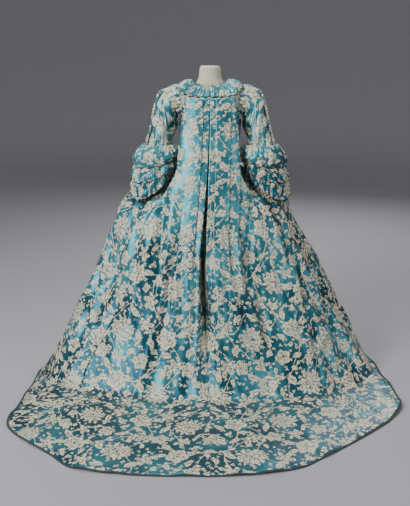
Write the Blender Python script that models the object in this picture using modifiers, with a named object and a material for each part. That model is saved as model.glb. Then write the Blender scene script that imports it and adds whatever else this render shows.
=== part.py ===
# A robe a la francaise on a limbless dress form, in metres, +Z up.
# The gown faces -Y, its train lies towards +Y, and +X is the wearer's left.
# The origin is the centre of the dress form's base, on the floor.
import math

import bpy
import numpy as np

cloth_wall = 0.0015        # thickness of every cloth wall
seam_gap = 0.0003          # space between two pieces at a seam
layer_pitch = 0.0031       # from one layer of a stitched pleat to the next
binding_width = 0.005      # hem tape that shows beyond the silk
floor_lift = cloth_wall / 2  # middle of the wall where the train rests

base_radius = 0.165
base_height = 0.026
pole_radius = 0.016
form_bottom = 0.80

# Heights of the skirt and sack, from the neck down to the floor.
# key says where a row lies between the six heights of the fold tables:
# 0 neck, 1 waist, 2 thigh, 3 knee, 4 where the cloth meets the floor, 5 hem.
# left and right are half widths, lean is the angle of the cloth's normal above level.
section_columns = ("key", "z", "centre", "left", "right", "y_side", "y_back", "y_front",
                   "square", "lean")
sack_sections = (
    (0.00, 1.349, 0.000, 0.152, 0.152, 0.020, 0.121, -0.10, 2.6, 8),
    (0.25, 1.275, 0.001, 0.160, 0.160, 0.020, 0.141, -0.10, 2.8, 12),
    (0.60, 1.160, 0.004, 0.170, 0.170, 0.025, 0.167, -0.10, 3.0, 12),
    (1.00, 1.040, 0.008, 0.180, 0.178, 0.030, 0.197, -0.10, 3.0, 14),
    (1.25, 0.965, 0.012, 0.250, 0.245, 0.025, 0.217, -0.15, 2.4, 16),
)
waist_sections = (
    (1.00, 1.034, 0.000, 0.136, 0.136, 0.000, 0.103, -0.105, 2.2, 30),
    (1.12, 0.988, 0.000, 0.250, 0.240, 0.000, 0.110, -0.125, 1.9, 50),
    (1.35, 0.935, 0.000, 0.338, 0.325, 0.000, 0.138, -0.155, 1.8, 35),
)
skirt_sections = (
    (1.60, 0.866, 0.017, 0.415, 0.383, 0.000, 0.240, -0.200, 1.62, 20),
    (2.00, 0.750, 0.026, 0.472, 0.430, 0.010, 0.276, -0.235, 1.9, 16),
    (3.00, 0.550, 0.034, 0.552, 0.535, 0.010, 0.330, -0.275, 2.0, 15),
    (3.30, 0.400, 0.026, 0.610, 0.612, 0.020, 0.372, -0.305, 2.1, 18),
    (3.60, 0.250, 0.013, 0.705, 0.700, 0.050, 0.420, -0.335, 2.1, 24),
    (3.85, 0.100, 0.006, 0.785, 0.765, 0.120, 0.476, -0.362, 2.1, 34),
    (4.00, floor_lift, 0.000, 0.825, 0.825, 0.180, 0.552, -0.385, 2.1, 66),
)
train_steps = (0.32, 0.66, 1.0)   # rows between the floor line and the hem
# Share of the half girth at the floor line, and of the hem that lies outside it.
hem_shares = ((0, 0), (0.306, 0.32), (0.44, 0.50), (0.535, 0.63), (0.75, 0.80), (1, 1))

# Plan of the hem on the floor, from centre back round to centre front.
hem_left = ((0.0, 1.164), (0.19, 1.161), (0.36, 1.147), (0.52, 1.113), (0.64, 1.006),
            (0.738, 0.929), (0.872, 0.772), (0.884, 0.683), (0.862, 0.558),
            (0.858, 0.30), (0.838, 0.08), (0.71, -0.20), (0.40, -0.375), (0.0, -0.418))
hem_right = ((0.0, 1.164), (0.10, 1.160), (0.22, 1.144), (0.35, 1.105), (0.456, 1.028),
             (0.676, 0.84), (0.795, 0.719), (0.869, 0.588), (0.877, 0.50),
             (0.857, 0.28), (0.836, 0.06), (0.70, -0.21), (0.39, -0.377), (0.0, -0.418))

# The double box pleat beside the centre back, one row for each edge of a layer.
# layer counts from the body out where the pleat is stitched, the girths are metres from
# centre back at the six heights, and the depths are where the pleat has opened.
fold_columns = ("layer", "neck", "waist", "thigh", "knee", "floor", "hem",
                "deep_knee", "deep_floor", "deep_hem")
back_folds = (
    (0, 0.0002, 0.0002, 0.0002, 0.0002, 0.0002, 0.0002, -0.035, 0.000, 0.000),
    (0, 0.0500, 0.0500, 0.0350, 0.0060, 0.0200, 0.0300, -0.030, 0.001, 0.001),
    (1, 0.0500, 0.0500, 0.0380, 0.0085, 0.0350, 0.0500, -0.020, 0.003, 0.003),
    (1, 0.0020, 0.0030, 0.0060, 0.0105, 0.0520, 0.0800, -0.004, 0.010, 0.008),
    (2, 0.0020, 0.0030, 0.0065, 0.0140, 0.0600, 0.1000, 0.005, 0.011, 0.009),
    (2, 0.0550, 0.0560, 0.0480, 0.0300, 0.0900, 0.1400, -0.004, 0.003, 0.002),
    (3, 0.0550, 0.0560, 0.0510, 0.0370, 0.1100, 0.1700, -0.004, 0.001, 0.001),
    (3, 0.0290, 0.0340, 0.0400, 0.0480, 0.1300, 0.2000, 0.004, 0.005, 0.005),
    (4, 0.0290, 0.0340, 0.0410, 0.0540, 0.1400, 0.2200, 0.009, 0.008, 0.007),
    (4, 0.0610, 0.0670, 0.0760, 0.0900, 0.1800, 0.2800, 0.012, 0.004, 0.002),
    (4, 0.0930, 0.1000, 0.1120, 0.1250, 0.2300, 0.3400, 0.011, 0.008, 0.006),
    (3, 0.0930, 0.1000, 0.1130, 0.1320, 0.2400, 0.3600, 0.006, 0.006, 0.005),
    (3, 0.0660, 0.0780, 0.1010, 0.1480, 0.2700, 0.4000, -0.007, 0.001, 0.000),
    (2, 0.0660, 0.0780, 0.1040, 0.1580, 0.2900, 0.4300, -0.007, 0.001, 0.000),
    (2, 0.1180, 0.1540, 0.1620, 0.1780, 0.3300, 0.4700, 0.013, 0.012, 0.010),
    (1, 0.1180, 0.1540, 0.1635, 0.1850, 0.3450, 0.4900, 0.008, 0.011, 0.009),
    (1, 0.0700, 0.1050, 0.1480, 0.2050, 0.3900, 0.5500, -0.013, 0.001, 0.001),
    (0, 0.0700, 0.1050, 0.1550, 0.2350, 0.4400, 0.6200, -0.014, 0.000, 0.000),
    (0, 0.0920, 0.1300, 0.2350, 0.2950, 0.5300, 0.7400, 0.005, 0.006, 0.008),
    (0, 0.1120, 0.1500, 0.3050, 0.3600, 0.6400, 0.8800, 0.000, 0.000, 0.000),
)

# Ridges of the side panels: where each lies across the panel at the hip and at the hem,
# and its height at the waist, the knee and the hem. The cloth dips between two ridges.
ridge_columns = ("hip", "hem", "high_waist", "high_knee", "high_hem")
side_ridges = {
    "left": ((0.14, 0.10, 0.004, 0.012, 0.012), (0.34, 0.30, 0.005, 0.010, 0.016),
             (0.52, 0.52, 0.004, 0.016, 0.020), (0.70, 0.71, 0.005, 0.012, 0.012),
             (0.88, 0.88, 0.004, 0.010, 0.010)),
    "right": ((0.12, 0.13, 0.005, 0.014, 0.014), (0.31, 0.34, 0.004, 0.018, 0.018),
              (0.50, 0.55, 0.005, 0.010, 0.012), (0.69, 0.73, 0.004, 0.013, 0.014),
              (0.87, 0.89, 0.004, 0.010, 0.010)),
}
front_ridges = ((0.22, 0.20, 0.004, 0.010, 0.010), (0.50, 0.50, 0.004, 0.011, 0.011),
                (0.78, 0.80, 0.003, 0.009, 0.009))
side_front_share = 0.63    # share of the half girth from centre back to the side front seam
side_top_share = (0.24, 0.245, 0.30)   # where the side panel starts, for waist_sections

# Rings of the bodice under the sack: height, half width, back and front.
bodice_rings = ((1.038, 0.130, 0.097, -0.099), (1.105, 0.136, 0.102, -0.110),
                (1.168, 0.149, 0.108, -0.122))
armhole_steps = (0.34, 0.67)      # rows between the top ring and the neckline's outer edge
armhole_angles = (64.0, 116.0)    # the open part, from centre back round to centre front
bodice_back_angles = (0.12, 20, 42, 64, 77, 89.9)
bodice_front_angles = (90.1, 103, 116, 132, 149, 165, 179.88)

# The neckline by its angle from centre back: the inner and the outer edge of its ruching.
neckline = (
    (0, 0.000, 0.067, 1.406, 0.000, 0.120, 1.354),
    (35, 0.056, 0.059, 1.413, 0.098, 0.107, 1.358),
    (62, 0.081, 0.035, 1.428, 0.146, 0.063, 1.386),
    (90, 0.088, 0.000, 1.434, 0.164, 0.004, 1.402),
    (118, 0.086, -0.040, 1.420, 0.150, -0.056, 1.375),
    (146, 0.076, -0.088, 1.350, 0.116, -0.108, 1.290),
    (180, 0.000, -0.124, 1.262, 0.000, -0.141, 1.208),
)
ruche_clearance = 0.0045
ruche_puff = 0.007
ruche_steps = 46

# Rings of the left sleeve: centre, tilt of the ring, half size across and fore and aft,
# and how far the ring bows in towards the body at the front and back.
sleeve_rings = (
    (0.175, 0.000, 1.323, 80, 0.072, 0.063, 0.021),
    (0.197, 0.002, 1.326, 56, 0.070, 0.066, 0.010),
    (0.216, 0.012, 1.287, 27, 0.059, 0.064, 0.004),
    (0.225, 0.028, 1.225, 12, 0.060, 0.062, 0.000),
    (0.246, 0.054, 1.145, 13, 0.059, 0.060, 0.000),
    (0.258, 0.066, 1.092, 13, 0.058, 0.059, 0.000),
)
sleeve_sides = 18
strip_angles = (54, 68, 82)       # the ruched strip down the outer arm
strip_clearance = 0.0030

# Flounces at the elbow, from the outer tier to the inner: how far each hangs at the
# inner arm and at the elbow, and how far it stands out from the tier below.
flounce_centre = (0.249, 0.058, 1.128)
flounce_drift = (0.16, 0.02)      # sideways and backwards for each metre down
flounce_tiers = (("upper", 0.058, 0.105, 0.016), ("middle", 0.066, 0.178, 0.008),
                 ("lower", 0.074, 0.264, 0.000))
flounce_radius = 0.0655
flounce_flare = 0.037
flounce_reach = 0.07              # metres down in which most of the flare happens
flounce_point = 40.0              # the deepest place, from the back round to the outside
flounce_waves = 12
flounce_wave_height = 0.007
flounce_rows = (0.0, 0.3, 0.65, 1.0)

# The dress form: height, half width, half depth and its centre's y.
form_rings = (
    (form_bottom, 0.135, 0.095, 0.000), (0.815, 0.150, 0.108, 0.000),
    (0.900, 0.158, 0.112, 0.002), (0.970, 0.134, 0.094, 0.000),
    (1.030, 0.116, 0.082, 0.000), (1.100, 0.122, 0.090, -0.003),
    (1.180, 0.136, 0.101, -0.006), (1.250, 0.144, 0.104, -0.006),
    (1.320, 0.146, 0.092, -0.002), (1.362, 0.136, 0.074, 0.002),
    (1.386, 0.112, 0.059, 0.004), (1.404, 0.084, 0.051, 0.002),
    (1.424, 0.065, 0.049, 0.002), (1.447, 0.054, 0.048, 0.002),
    (1.490, 0.0505, 0.048, 0.002), (1.500, 0.046, 0.044, 0.002),
)
form_sides = 28

# Base colour, roughness and metallic value of each material.
material_table = {
    "silk": ((0.16, 0.42, 0.50), 0.38, 0.0),
    "silk_trim": ((0.20, 0.40, 0.44), 0.45, 0.0),
    "hem_tape": ((0.05, 0.10, 0.12), 0.80, 0.0),
    "linen": ((0.72, 0.70, 0.62), 0.85, 0.0),
    "wood": ((0.22, 0.12, 0.06), 0.45, 0.0),
}


def clear_scene():
    for item in list(bpy.data.objects):
        bpy.data.objects.remove(item, do_unlink=True)


def make_materials():
    made = {}
    for name, (colour, roughness, metallic) in material_table.items():
        material = bpy.data.materials.new(name)
        material.use_nodes = True
        shader = material.node_tree.nodes["Principled BSDF"]
        shader.inputs["Base Color"].default_value = (*colour, 1.0)
        shader.inputs["Roughness"].default_value = roughness
        shader.inputs["Metallic"].default_value = metallic
        made[name] = material
    return made


def add_mesh(name, points, faces, material):
    mesh = bpy.data.meshes.new(name)
    mesh.from_pydata([tuple(map(float, p)) for p in points], [], faces)
    mesh.update()
    mesh.materials.append(materials[material])
    thing = bpy.data.objects.new(name, mesh)
    gown.objects.link(thing)
    return thing


# ---- skirt and sack: a girth and depth on a section becomes a point ----

def smooth_outline(points, steps=12):
    """A Catmull-Rom curve through the points of an outline."""
    p = np.array(points, float)
    p = np.vstack((2 * p[0] - p[1], p, 2 * p[-1] - p[-2]))
    t = np.linspace(0, 1, steps, endpoint=False)[:, None]
    spans = [0.5 * (2 * b + (c - a) * t + (2 * a - 5 * b + 4 * c - d) * t**2
                    + (3 * b - a - 3 * c + d) * t**3)
             for a, b, c, d in zip(p, p[1:], p[2:], p[3:])]
    return np.vstack((*spans, p[-2]))


def half_section(row, side):
    """A half section in plan, as a superellipse quadrant behind and one in front."""
    r = dict(zip(section_columns, row))
    turn = np.linspace(0, math.pi, 181)
    power = 2 / r["square"]
    across = np.sin(turn) ** power
    along = np.abs(np.cos(turn)) ** power
    reach = np.where(turn < math.pi / 2, r["y_back"], r["y_front"]) - r["y_side"]
    width = r[side] - r["centre"] if side == "left" else r[side] + r["centre"]
    return np.column_stack((across * width, r["y_side"] + reach * along))


def resample(curve, shares=np.linspace(0, 1, 241)):
    """The points at some shares of a curve's length, and that length."""
    steps = np.hypot(*np.diff(curve, axis=0).T)
    length = np.concatenate(([0], np.cumsum(steps)))
    at = shares * length[-1]
    return np.column_stack([np.interp(at, length, c) for c in curve.T]), length[-1]


def make_row(points, girth, z, centre, key, lean):
    return {"curve": points, "girth": girth, "z": z, "centre": centre, "key": key,
            "lean": math.radians(lean)}


def section_rows(tables, side):
    rows = []
    for table in tables:
        for row in table:
            r = dict(zip(section_columns, row))
            points, girth = resample(half_section(row, side))
            rows.append(make_row(points, girth, r["z"], r["centre"], r["key"], r["lean"]))
    inner, inner_girth = rows[-1]["curve"], rows[-1]["girth"]
    outline = smooth_outline(hem_left if side == "left" else hem_right)
    shares = np.interp(np.linspace(0, 1, len(inner)), *np.array(hem_shares).T)
    outer, outer_girth = resample(outline, shares)
    for step in train_steps:
        rows.append(make_row(inner + (outer - inner) * step,
                             inner_girth + (outer_girth - inner_girth) * step,
                             floor_lift, 0.0, 4 + step, 90))
    return rows


def place(row, side, girths, depths):
    """Points at the girths round a row, moved out by the depths along its normal."""
    at = np.asarray(girths) / row["girth"] * (len(row["curve"]) - 1)
    index = np.arange(len(row["curve"]))
    x, y = (np.interp(at, index, c) for c in row["curve"].T)
    slope = np.gradient(row["curve"], axis=0)
    dx, dy = (np.interp(at, index, c) for c in slope.T)
    size = np.hypot(dx, dy)
    out_x, out_y = -dy / size, dx / size
    level, up = math.cos(row["lean"]), math.sin(row["lean"])
    mirror = 1 if side == "left" else -1
    px = row["centre"] + mirror * (x + out_x * level * depths)
    py = y + out_y * level * depths
    pz = np.maximum(row["z"] + up * depths, 0.0)
    return np.column_stack((px, py, pz))


def offset_path(path, distance):
    """A path in girth and depth moved sideways, with mitred corners."""
    step = np.diff(path, axis=0)
    step /= np.hypot(*step.T)[:, None]
    normal = np.column_stack((-step[:, 1], step[:, 0]))
    before = np.vstack((normal[:1], normal))
    after = np.vstack((normal, normal[-1:]))
    mitre = (before + after) / (1 + np.sum(before * after, axis=1))[:, None]
    for end in (0, -1):                    # a cut end stays on its seam
        mitre[end] = (0, 1 / normal[end, 1])
    return path + mitre * distance


def panel(name, side, rows, paths, material="silk"):
    """A cloth wall lofted through one path for each row."""
    outer = []
    inner = []
    for row, path in zip(rows, paths):
        for grid, distance in ((outer, cloth_wall / 2), (inner, -cloth_wall / 2)):
            moved = offset_path(path, distance)
            grid.append(place(row, side, moved[:, 0], moved[:, 1]))
    return wall(name, np.array(outer), np.array(inner), material, side == "right")


def wall(name, outer, inner, material, reverse=False):
    """A closed solid between two grids of points."""
    rows, columns = outer.shape[:2]
    points = np.vstack((outer.reshape(-1, 3), inner.reshape(-1, 3)))
    number = np.arange(2 * rows * columns).reshape(2, rows, columns)
    faces = []
    for i in range(rows - 1):
        for j in range(columns - 1):
            a, b, c, d = number[0, i:i + 2, j:j + 2].ravel()
            faces.append((a, b, d, c))
            a, b, c, d = number[1, i:i + 2, j:j + 2].ravel()
            faces.append((a, c, d, b))
    rim = np.concatenate((np.column_stack((np.zeros(columns, int), np.arange(columns))),
                          np.column_stack((np.arange(rows), np.full(rows, columns - 1)))[1:],
                          np.column_stack((np.full(columns, rows - 1),
                                           np.arange(columns)[::-1]))[1:],
                          np.column_stack((np.arange(rows)[::-1], np.zeros(rows, int)))[1:]))
    for (i, j), (k, m) in zip(rim, rim[1:]):
        faces.append((number[0, k, m], number[0, i, j], number[1, i, j], number[1, k, m]))
    if reverse:
        faces = [face[::-1] for face in faces]
    faces = [tuple(int(v) for v in face) for face in faces]
    return add_mesh(name, points, faces, material)


def back_path(key):
    """The pleated path of a back panel at one height."""
    path = []
    for fold in back_folds:
        f = dict(zip(fold_columns, fold))
        girths = [f[c] for c in ("neck", "waist", "thigh", "knee", "floor", "hem")]
        stitched = (f["layer"] + 0.7) * layer_pitch
        half_open = 0.6 * stitched + 0.4 * f["deep_knee"]
        depths = (stitched, 1.1 * stitched, half_open, f["deep_knee"], f["deep_floor"],
                  f["deep_hem"])
        path.append((np.interp(key, range(6), girths), np.interp(key, range(6), depths)))
    return np.array(path)


def ridge_path(key, start, end, ridges):
    """A path that rises at each ridge and dips between two of them."""
    hip_to_hem = (key - 1) / 4
    marks = []
    for ridge in ridges:
        r = dict(zip(ridge_columns, ridge))
        share = r["hip"] + (r["hem"] - r["hip"]) * hip_to_hem
        high = np.interp(key, (1, 3, 5), (r["high_waist"], r["high_knee"], r["high_hem"]))
        marks.append((share, high))
    marks = np.array(marks)
    dips = (marks[1:, 0] + marks[:-1, 0]) / 2
    dip_depth = -0.4 * np.minimum(marks[1:, 1], marks[:-1, 1]) * (key < 3.9)
    shares = np.concatenate(([0], marks[:, 0], dips, [1]))
    depths = np.concatenate(([0], marks[:, 1], dip_depth, [0]))
    order = np.argsort(shares)
    return np.column_stack((start + (end - start) * shares[order], depths[order]))


def make_skirt(side):
    sack_rows = section_rows((sack_sections, skirt_sections), side)
    paths = [back_path(row["key"]) for row in sack_rows]
    panel(f"back_{side}", side, sack_rows, paths)
    rows = section_rows((waist_sections, skirt_sections), side)
    side_paths = []
    front_paths = []
    for index, row in enumerate(rows):
        if index < len(side_top_share):
            start = side_top_share[index] * row["girth"]
        else:
            start = back_path(row["key"])[-1, 0] + seam_gap
        middle = side_front_share * row["girth"]
        side_paths.append(ridge_path(row["key"], start, middle, side_ridges[side]))
        front_paths.append(ridge_path(row["key"], middle + seam_gap,
                                      row["girth"] - seam_gap / 2, front_ridges))
    panel(f"skirt_side_{side}", side, rows, side_paths)
    panel(f"skirt_front_{side}", side, rows, front_paths)
    hem_paths = (paths[-1], side_paths[-1][1:], front_paths[-1][1:])
    make_hem_tape(side, rows[-1], np.vstack(hem_paths))


def make_hem_tape(side, hem, path):
    """The narrow tape just outside the hem of one half, which follows its folds."""
    curve = place(hem, side, path[:, 0], path[:, 1])
    tangent = np.gradient(curve, axis=0)
    size = np.hypot(tangent[:, 0], tangent[:, 1])[:, None]
    turn = 1 if side == "left" else -1
    out = turn * np.column_stack((-tangent[:, 1], tangent[:, 0], np.zeros(len(path)))) / size
    near = curve + out * 3 * seam_gap
    under = np.array((near, near + out * binding_width))
    under[..., 2] = np.maximum(under[..., 2] - cloth_wall / 2, 0)
    over = under + (0, 0, cloth_wall)
    wall(f"hem_tape_{side}", over, under, "hem_tape", side == "right")


# ---- bodice, sleeves and trim: sheets that Solidify thickens ----

def sheet(name, grid, material="silk", closed=False, gaps=(), flip=False):
    """An open sheet over a grid of points, thickened on its outer side."""
    rows, columns = grid.shape[:2]
    number = np.arange(rows * columns).reshape(rows, columns)
    faces = []
    for i in range(rows - 1):
        for j in range(columns if closed else columns - 1):
            if (i, j) in gaps:
                continue
            k = (j + 1) % columns
            face = (number[i, j], number[i, k], number[i + 1, k], number[i + 1, j])
            faces.append(tuple(int(v) for v in (face[::-1] if flip else face)))
    used = sorted({v for face in faces for v in face})
    renumber = {old: new for new, old in enumerate(used)}
    faces = [tuple(renumber[v] for v in face) for face in faces]
    thing = add_mesh(name, grid.reshape(-1, 3)[used], faces, material)
    thick = thing.modifiers.new("cloth", "SOLIDIFY")
    thick.thickness = cloth_wall
    thick.offset = 1
    thick.use_even_offset = True
    return thing


def neckline_loops(angles):
    """The inner and outer edges of the neckline at some angles, and the way out of it."""
    dense = np.arange(-188, 189, 4)          # runs past centre front on both sides
    wrapped = (dense + 180) % 360 - 180
    table = np.array(neckline, float)
    read = [np.interp(np.abs(wrapped), table[:, 0], column) for column in table[:, 1:].T]
    sign = np.sign(wrapped)
    inner = np.column_stack((read[0] * sign, read[1], read[2]))
    outer = np.column_stack((read[3] * sign, read[4], read[5]))
    out = np.cross(np.gradient((inner + outer) / 2, axis=0), outer - inner)
    out /= np.linalg.norm(out, axis=1)[:, None]
    return [np.column_stack([np.interp(angles, dense, c) for c in points.T])
            for points in (inner, outer, out)]


def bodice_grid(angles):
    """Rows of the bodice from the waist to the neckline, under the ruching."""
    turn = np.radians(angles)
    rows = []
    for z, half_width, y_back, y_front in bodice_rings:
        x = half_width * np.sin(turn) ** 0.9
        y = np.where(turn < math.pi / 2, y_back, -y_front) * np.sign(np.cos(turn))
        y = y * np.abs(np.cos(turn)) ** 0.9
        rows.append(np.column_stack((x, y, np.full(len(x), z))))
    inner, outer, out = neckline_loops(angles)
    low = outer - out * ruche_clearance
    for step in armhole_steps:
        rows.append(rows[len(bodice_rings) - 1] * (1 - step) + low * step)
    rows.append(low)
    rows.append(inner - out * ruche_clearance)
    return np.array(rows)


def make_bodice(side):
    mirror = np.array((1 if side == "left" else -1, 1, 1))
    first = len(bodice_rings)
    armhole_rows = range(first, first + len(armhole_steps))
    for part, angles in (("back", bodice_back_angles), ("front", bodice_front_angles)):
        grid = bodice_grid(angles) * mirror
        middles = (np.array(angles[1:]) + np.array(angles[:-1])) / 2
        gaps = {(i, j) for i in armhole_rows for j, angle in enumerate(middles)
                if armhole_angles[0] < angle < armhole_angles[1]}
        sheet(f"bodice_{part}_{side}", grid, gaps=gaps, flip=side == "left")


def make_neck_ruche():
    """The gathered band all round the neckline, meeting at centre front."""
    angles = np.linspace(-179.8, 179.8, ruche_steps)
    inner, outer, out = neckline_loops(angles)
    middle = (inner + outer) / 2 + out * ruche_puff
    gather = (0.002 * (np.arange(ruche_steps) % 2))[:, None] * out
    grid = np.array((outer + gather, middle + gather, inner + gather))
    sheet("neck_ruche", grid, "silk_trim", flip=True)


def sleeve_ring(ring, angles):
    """Points round one ring of the left sleeve; angle 0 is the back, 90 the outer arm."""
    x, y, z, tilt, across, fore, bow = ring
    turn = np.radians(angles)
    lean = math.radians(tilt)
    side_step = across * np.sin(turn)
    px = x + side_step * math.cos(lean) - bow * np.cos(turn) ** 2
    pz = z + side_step * math.sin(lean)
    return np.column_stack((px, y + fore * np.cos(turn), pz))


def make_sleeve(side):
    mirror = np.array((1 if side == "left" else -1, 1, 1))
    flip = side == "right"
    angles = np.arange(sleeve_sides) * 360 / sleeve_sides
    rings = np.array([sleeve_ring(ring, angles) for ring in sleeve_rings])
    sheet(f"sleeve_{side}", rings * mirror, closed=True, flip=flip)
    strip = []
    for x, y, z, tilt, across, fore, bow in sleeve_rings[1:5]:
        grown = (x, y, z, tilt, across + strip_clearance, fore + strip_clearance, bow)
        strip.append(sleeve_ring(grown, np.array(strip_angles)))
    sheet(f"sleeve_strip_{side}", np.array(strip) * mirror, "silk_trim", flip=flip)
    for tier in flounce_tiers:
        make_flounce(side, tier, mirror, flip)


def make_flounce(side, tier, mirror, flip):
    """A gathered frill round the elbow, deepest at the point of the elbow."""
    name, short, deep, stand_off = tier
    columns = 2 * flounce_waves
    degrees = np.arange(columns) * 360 / columns
    turn = np.radians(degrees)
    toward_point = (1 + np.cos(turn - math.radians(flounce_point))) / 2
    depth = short + (deep - short) * toward_point ** 1.2
    wave = np.where(np.arange(columns) % 2 == 0, 1.0, 0.0)
    grid = []
    for share in flounce_rows:
        down = depth * share
        radius = flounce_radius + stand_off
        radius = radius + flounce_flare * (1 - np.exp(-down / flounce_reach))
        radius = radius + wave * flounce_wave_height * down / 0.2
        x = flounce_centre[0] + flounce_drift[0] * down + radius * np.sin(turn)
        y = flounce_centre[1] + flounce_drift[1] * down + radius * np.cos(turn)
        grid.append(np.column_stack((x, y, flounce_centre[2] - down)))
    sheet(f"flounce_{name}_{side}", np.array(grid) * mirror, "silk_trim", closed=True,
          flip=flip)


# ---- the dress form ----

def make_form():
    """The limbless torso and neck, as a loft of ellipses closed at both ends."""
    turn = np.arange(form_sides) * 2 * math.pi / form_sides
    points = [np.column_stack((w * np.cos(turn), y + d * np.sin(turn),
                               np.full(form_sides, z))) for z, w, d, y in form_rings]
    faces = []
    for i in range(len(form_rings) - 1):
        for j in range(form_sides):
            k = (j + 1) % form_sides
            low, high = i * form_sides, (i + 1) * form_sides
            faces.append((low + j, low + k, high + k, high + j))
    last = (len(form_rings) - 1) * form_sides
    faces.append(tuple(range(form_sides))[::-1])
    faces.append(tuple(last + j for j in range(form_sides)))
    torso = add_mesh("form_torso", np.vstack(points), faces, "linen")
    torso.data.shade_smooth()


def turned(name, profile, material, steps=32):
    """A profile at +X, top to bottom, turned round the Z axis."""
    mesh = bpy.data.meshes.new(name)
    edges = [(i, i + 1) for i in range(len(profile) - 1)]
    mesh.from_pydata([(r, 0, z) for r, z in profile], edges, [])
    mesh.materials.append(materials[material])
    thing = bpy.data.objects.new(name, mesh)
    gown.objects.link(thing)
    screw = thing.modifiers.new("turn", "SCREW")
    screw.steps = steps
    screw.render_steps = steps
    screw.use_merge_vertices = True
    screw.merge_threshold = 0.0001
    return thing


def make_stand():
    top = form_bottom - seam_gap
    foot = base_height + seam_gap
    turned("stand_pole", ((0, top), (pole_radius, top), (pole_radius, foot), (0, foot)),
           "wood", 20)
    edge = base_radius
    turned("stand_base", ((0, base_height), (edge * 0.35, base_height), (edge * 0.94, 0.018),
                          (edge, 0.011), (edge, 0), (0, 0)), "wood")


clear_scene()
gown = bpy.data.collections.new("robe_a_la_francaise")
bpy.context.scene.collection.children.link(gown)
materials = make_materials()
make_form()
make_stand()
for side in ("left", "right"):
    make_skirt(side)
    make_bodice(side)
    make_sleeve(side)
make_neck_ruche()
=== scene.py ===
import math
import bpy
import numpy as np
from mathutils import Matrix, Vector


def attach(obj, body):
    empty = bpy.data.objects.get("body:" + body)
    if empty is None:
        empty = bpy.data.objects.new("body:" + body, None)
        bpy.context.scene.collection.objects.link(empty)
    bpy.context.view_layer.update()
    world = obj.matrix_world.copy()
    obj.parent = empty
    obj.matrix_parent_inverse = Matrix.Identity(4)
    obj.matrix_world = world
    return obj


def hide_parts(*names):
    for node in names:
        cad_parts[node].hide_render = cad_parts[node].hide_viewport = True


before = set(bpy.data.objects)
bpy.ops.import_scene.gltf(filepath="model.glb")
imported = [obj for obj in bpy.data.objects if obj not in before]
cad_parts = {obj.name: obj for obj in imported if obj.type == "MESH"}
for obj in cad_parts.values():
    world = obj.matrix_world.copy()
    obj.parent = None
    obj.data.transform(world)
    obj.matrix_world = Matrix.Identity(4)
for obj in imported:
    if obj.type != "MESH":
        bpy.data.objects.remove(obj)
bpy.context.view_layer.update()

print("stage: frame loaded")


# ---- materials ----

def hexColor(text):
    # sRGB hex to linear, as the shader wants it
    parts = [int(text[i:i + 2], 16) / 255 for i in (1, 3, 5)]
    linear = [p / 12.92 if p <= 0.04045 else ((p + 0.055) / 1.055) ** 2.4 for p in parts]
    return (*linear, 1.0)


def addNode(tree, kind, settings, *inputs, out=0):
    # adds a node, sets its settings and fills its inputs with links or values, in order
    # or from a dictionary of their names or numbers; gives one of its outputs
    node = tree.nodes.new(kind)
    for name, value in settings.items():
        setattr(node, name, value)
    named = bool(inputs) and isinstance(inputs[0], dict)
    for place, value in (inputs[0] if named else dict(enumerate(inputs))).items():
        if isinstance(value, bpy.types.NodeSocket):
            tree.links.new(value, node.inputs[place])
        elif value is not None:
            node.inputs[place].default_value = value
    return node.outputs[out] if node.outputs else node


# kinds of node with their settings
noise, split = ("ShaderNodeTexNoise", {}), ("ShaderNodeSeparateXYZ", {})
turnFlat = ("ShaderNodeVectorRotate", {"rotation_type": "Z_AXIS"})
colourMix = ("ShaderNodeMix", {"data_type": "RGBA"})    # inputs 0 factor, 6 and 7 colours
plus = ("ShaderNodeMath", {"operation": "ADD"})
minus = ("ShaderNodeMath", {"operation": "SUBTRACT"})
minusClamped = ("ShaderNodeMath", {"operation": "SUBTRACT", "use_clamp": True})
times = ("ShaderNodeMath", {"operation": "MULTIPLY"})
timesPlus = ("ShaderNodeMath", {"operation": "MULTIPLY_ADD"})
timesPlusClamped = ("ShaderNodeMath", {"operation": "MULTIPLY_ADD", "use_clamp": True})
larger = ("ShaderNodeMath", {"operation": "MAXIMUM"})
absolute = ("ShaderNodeMath", {"operation": "ABSOLUTE"})
placeMinus = ("ShaderNodeVectorMath", {"operation": "SUBTRACT"})
placeTimes = ("ShaderNodeVectorMath", {"operation": "MULTIPLY"})

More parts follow.
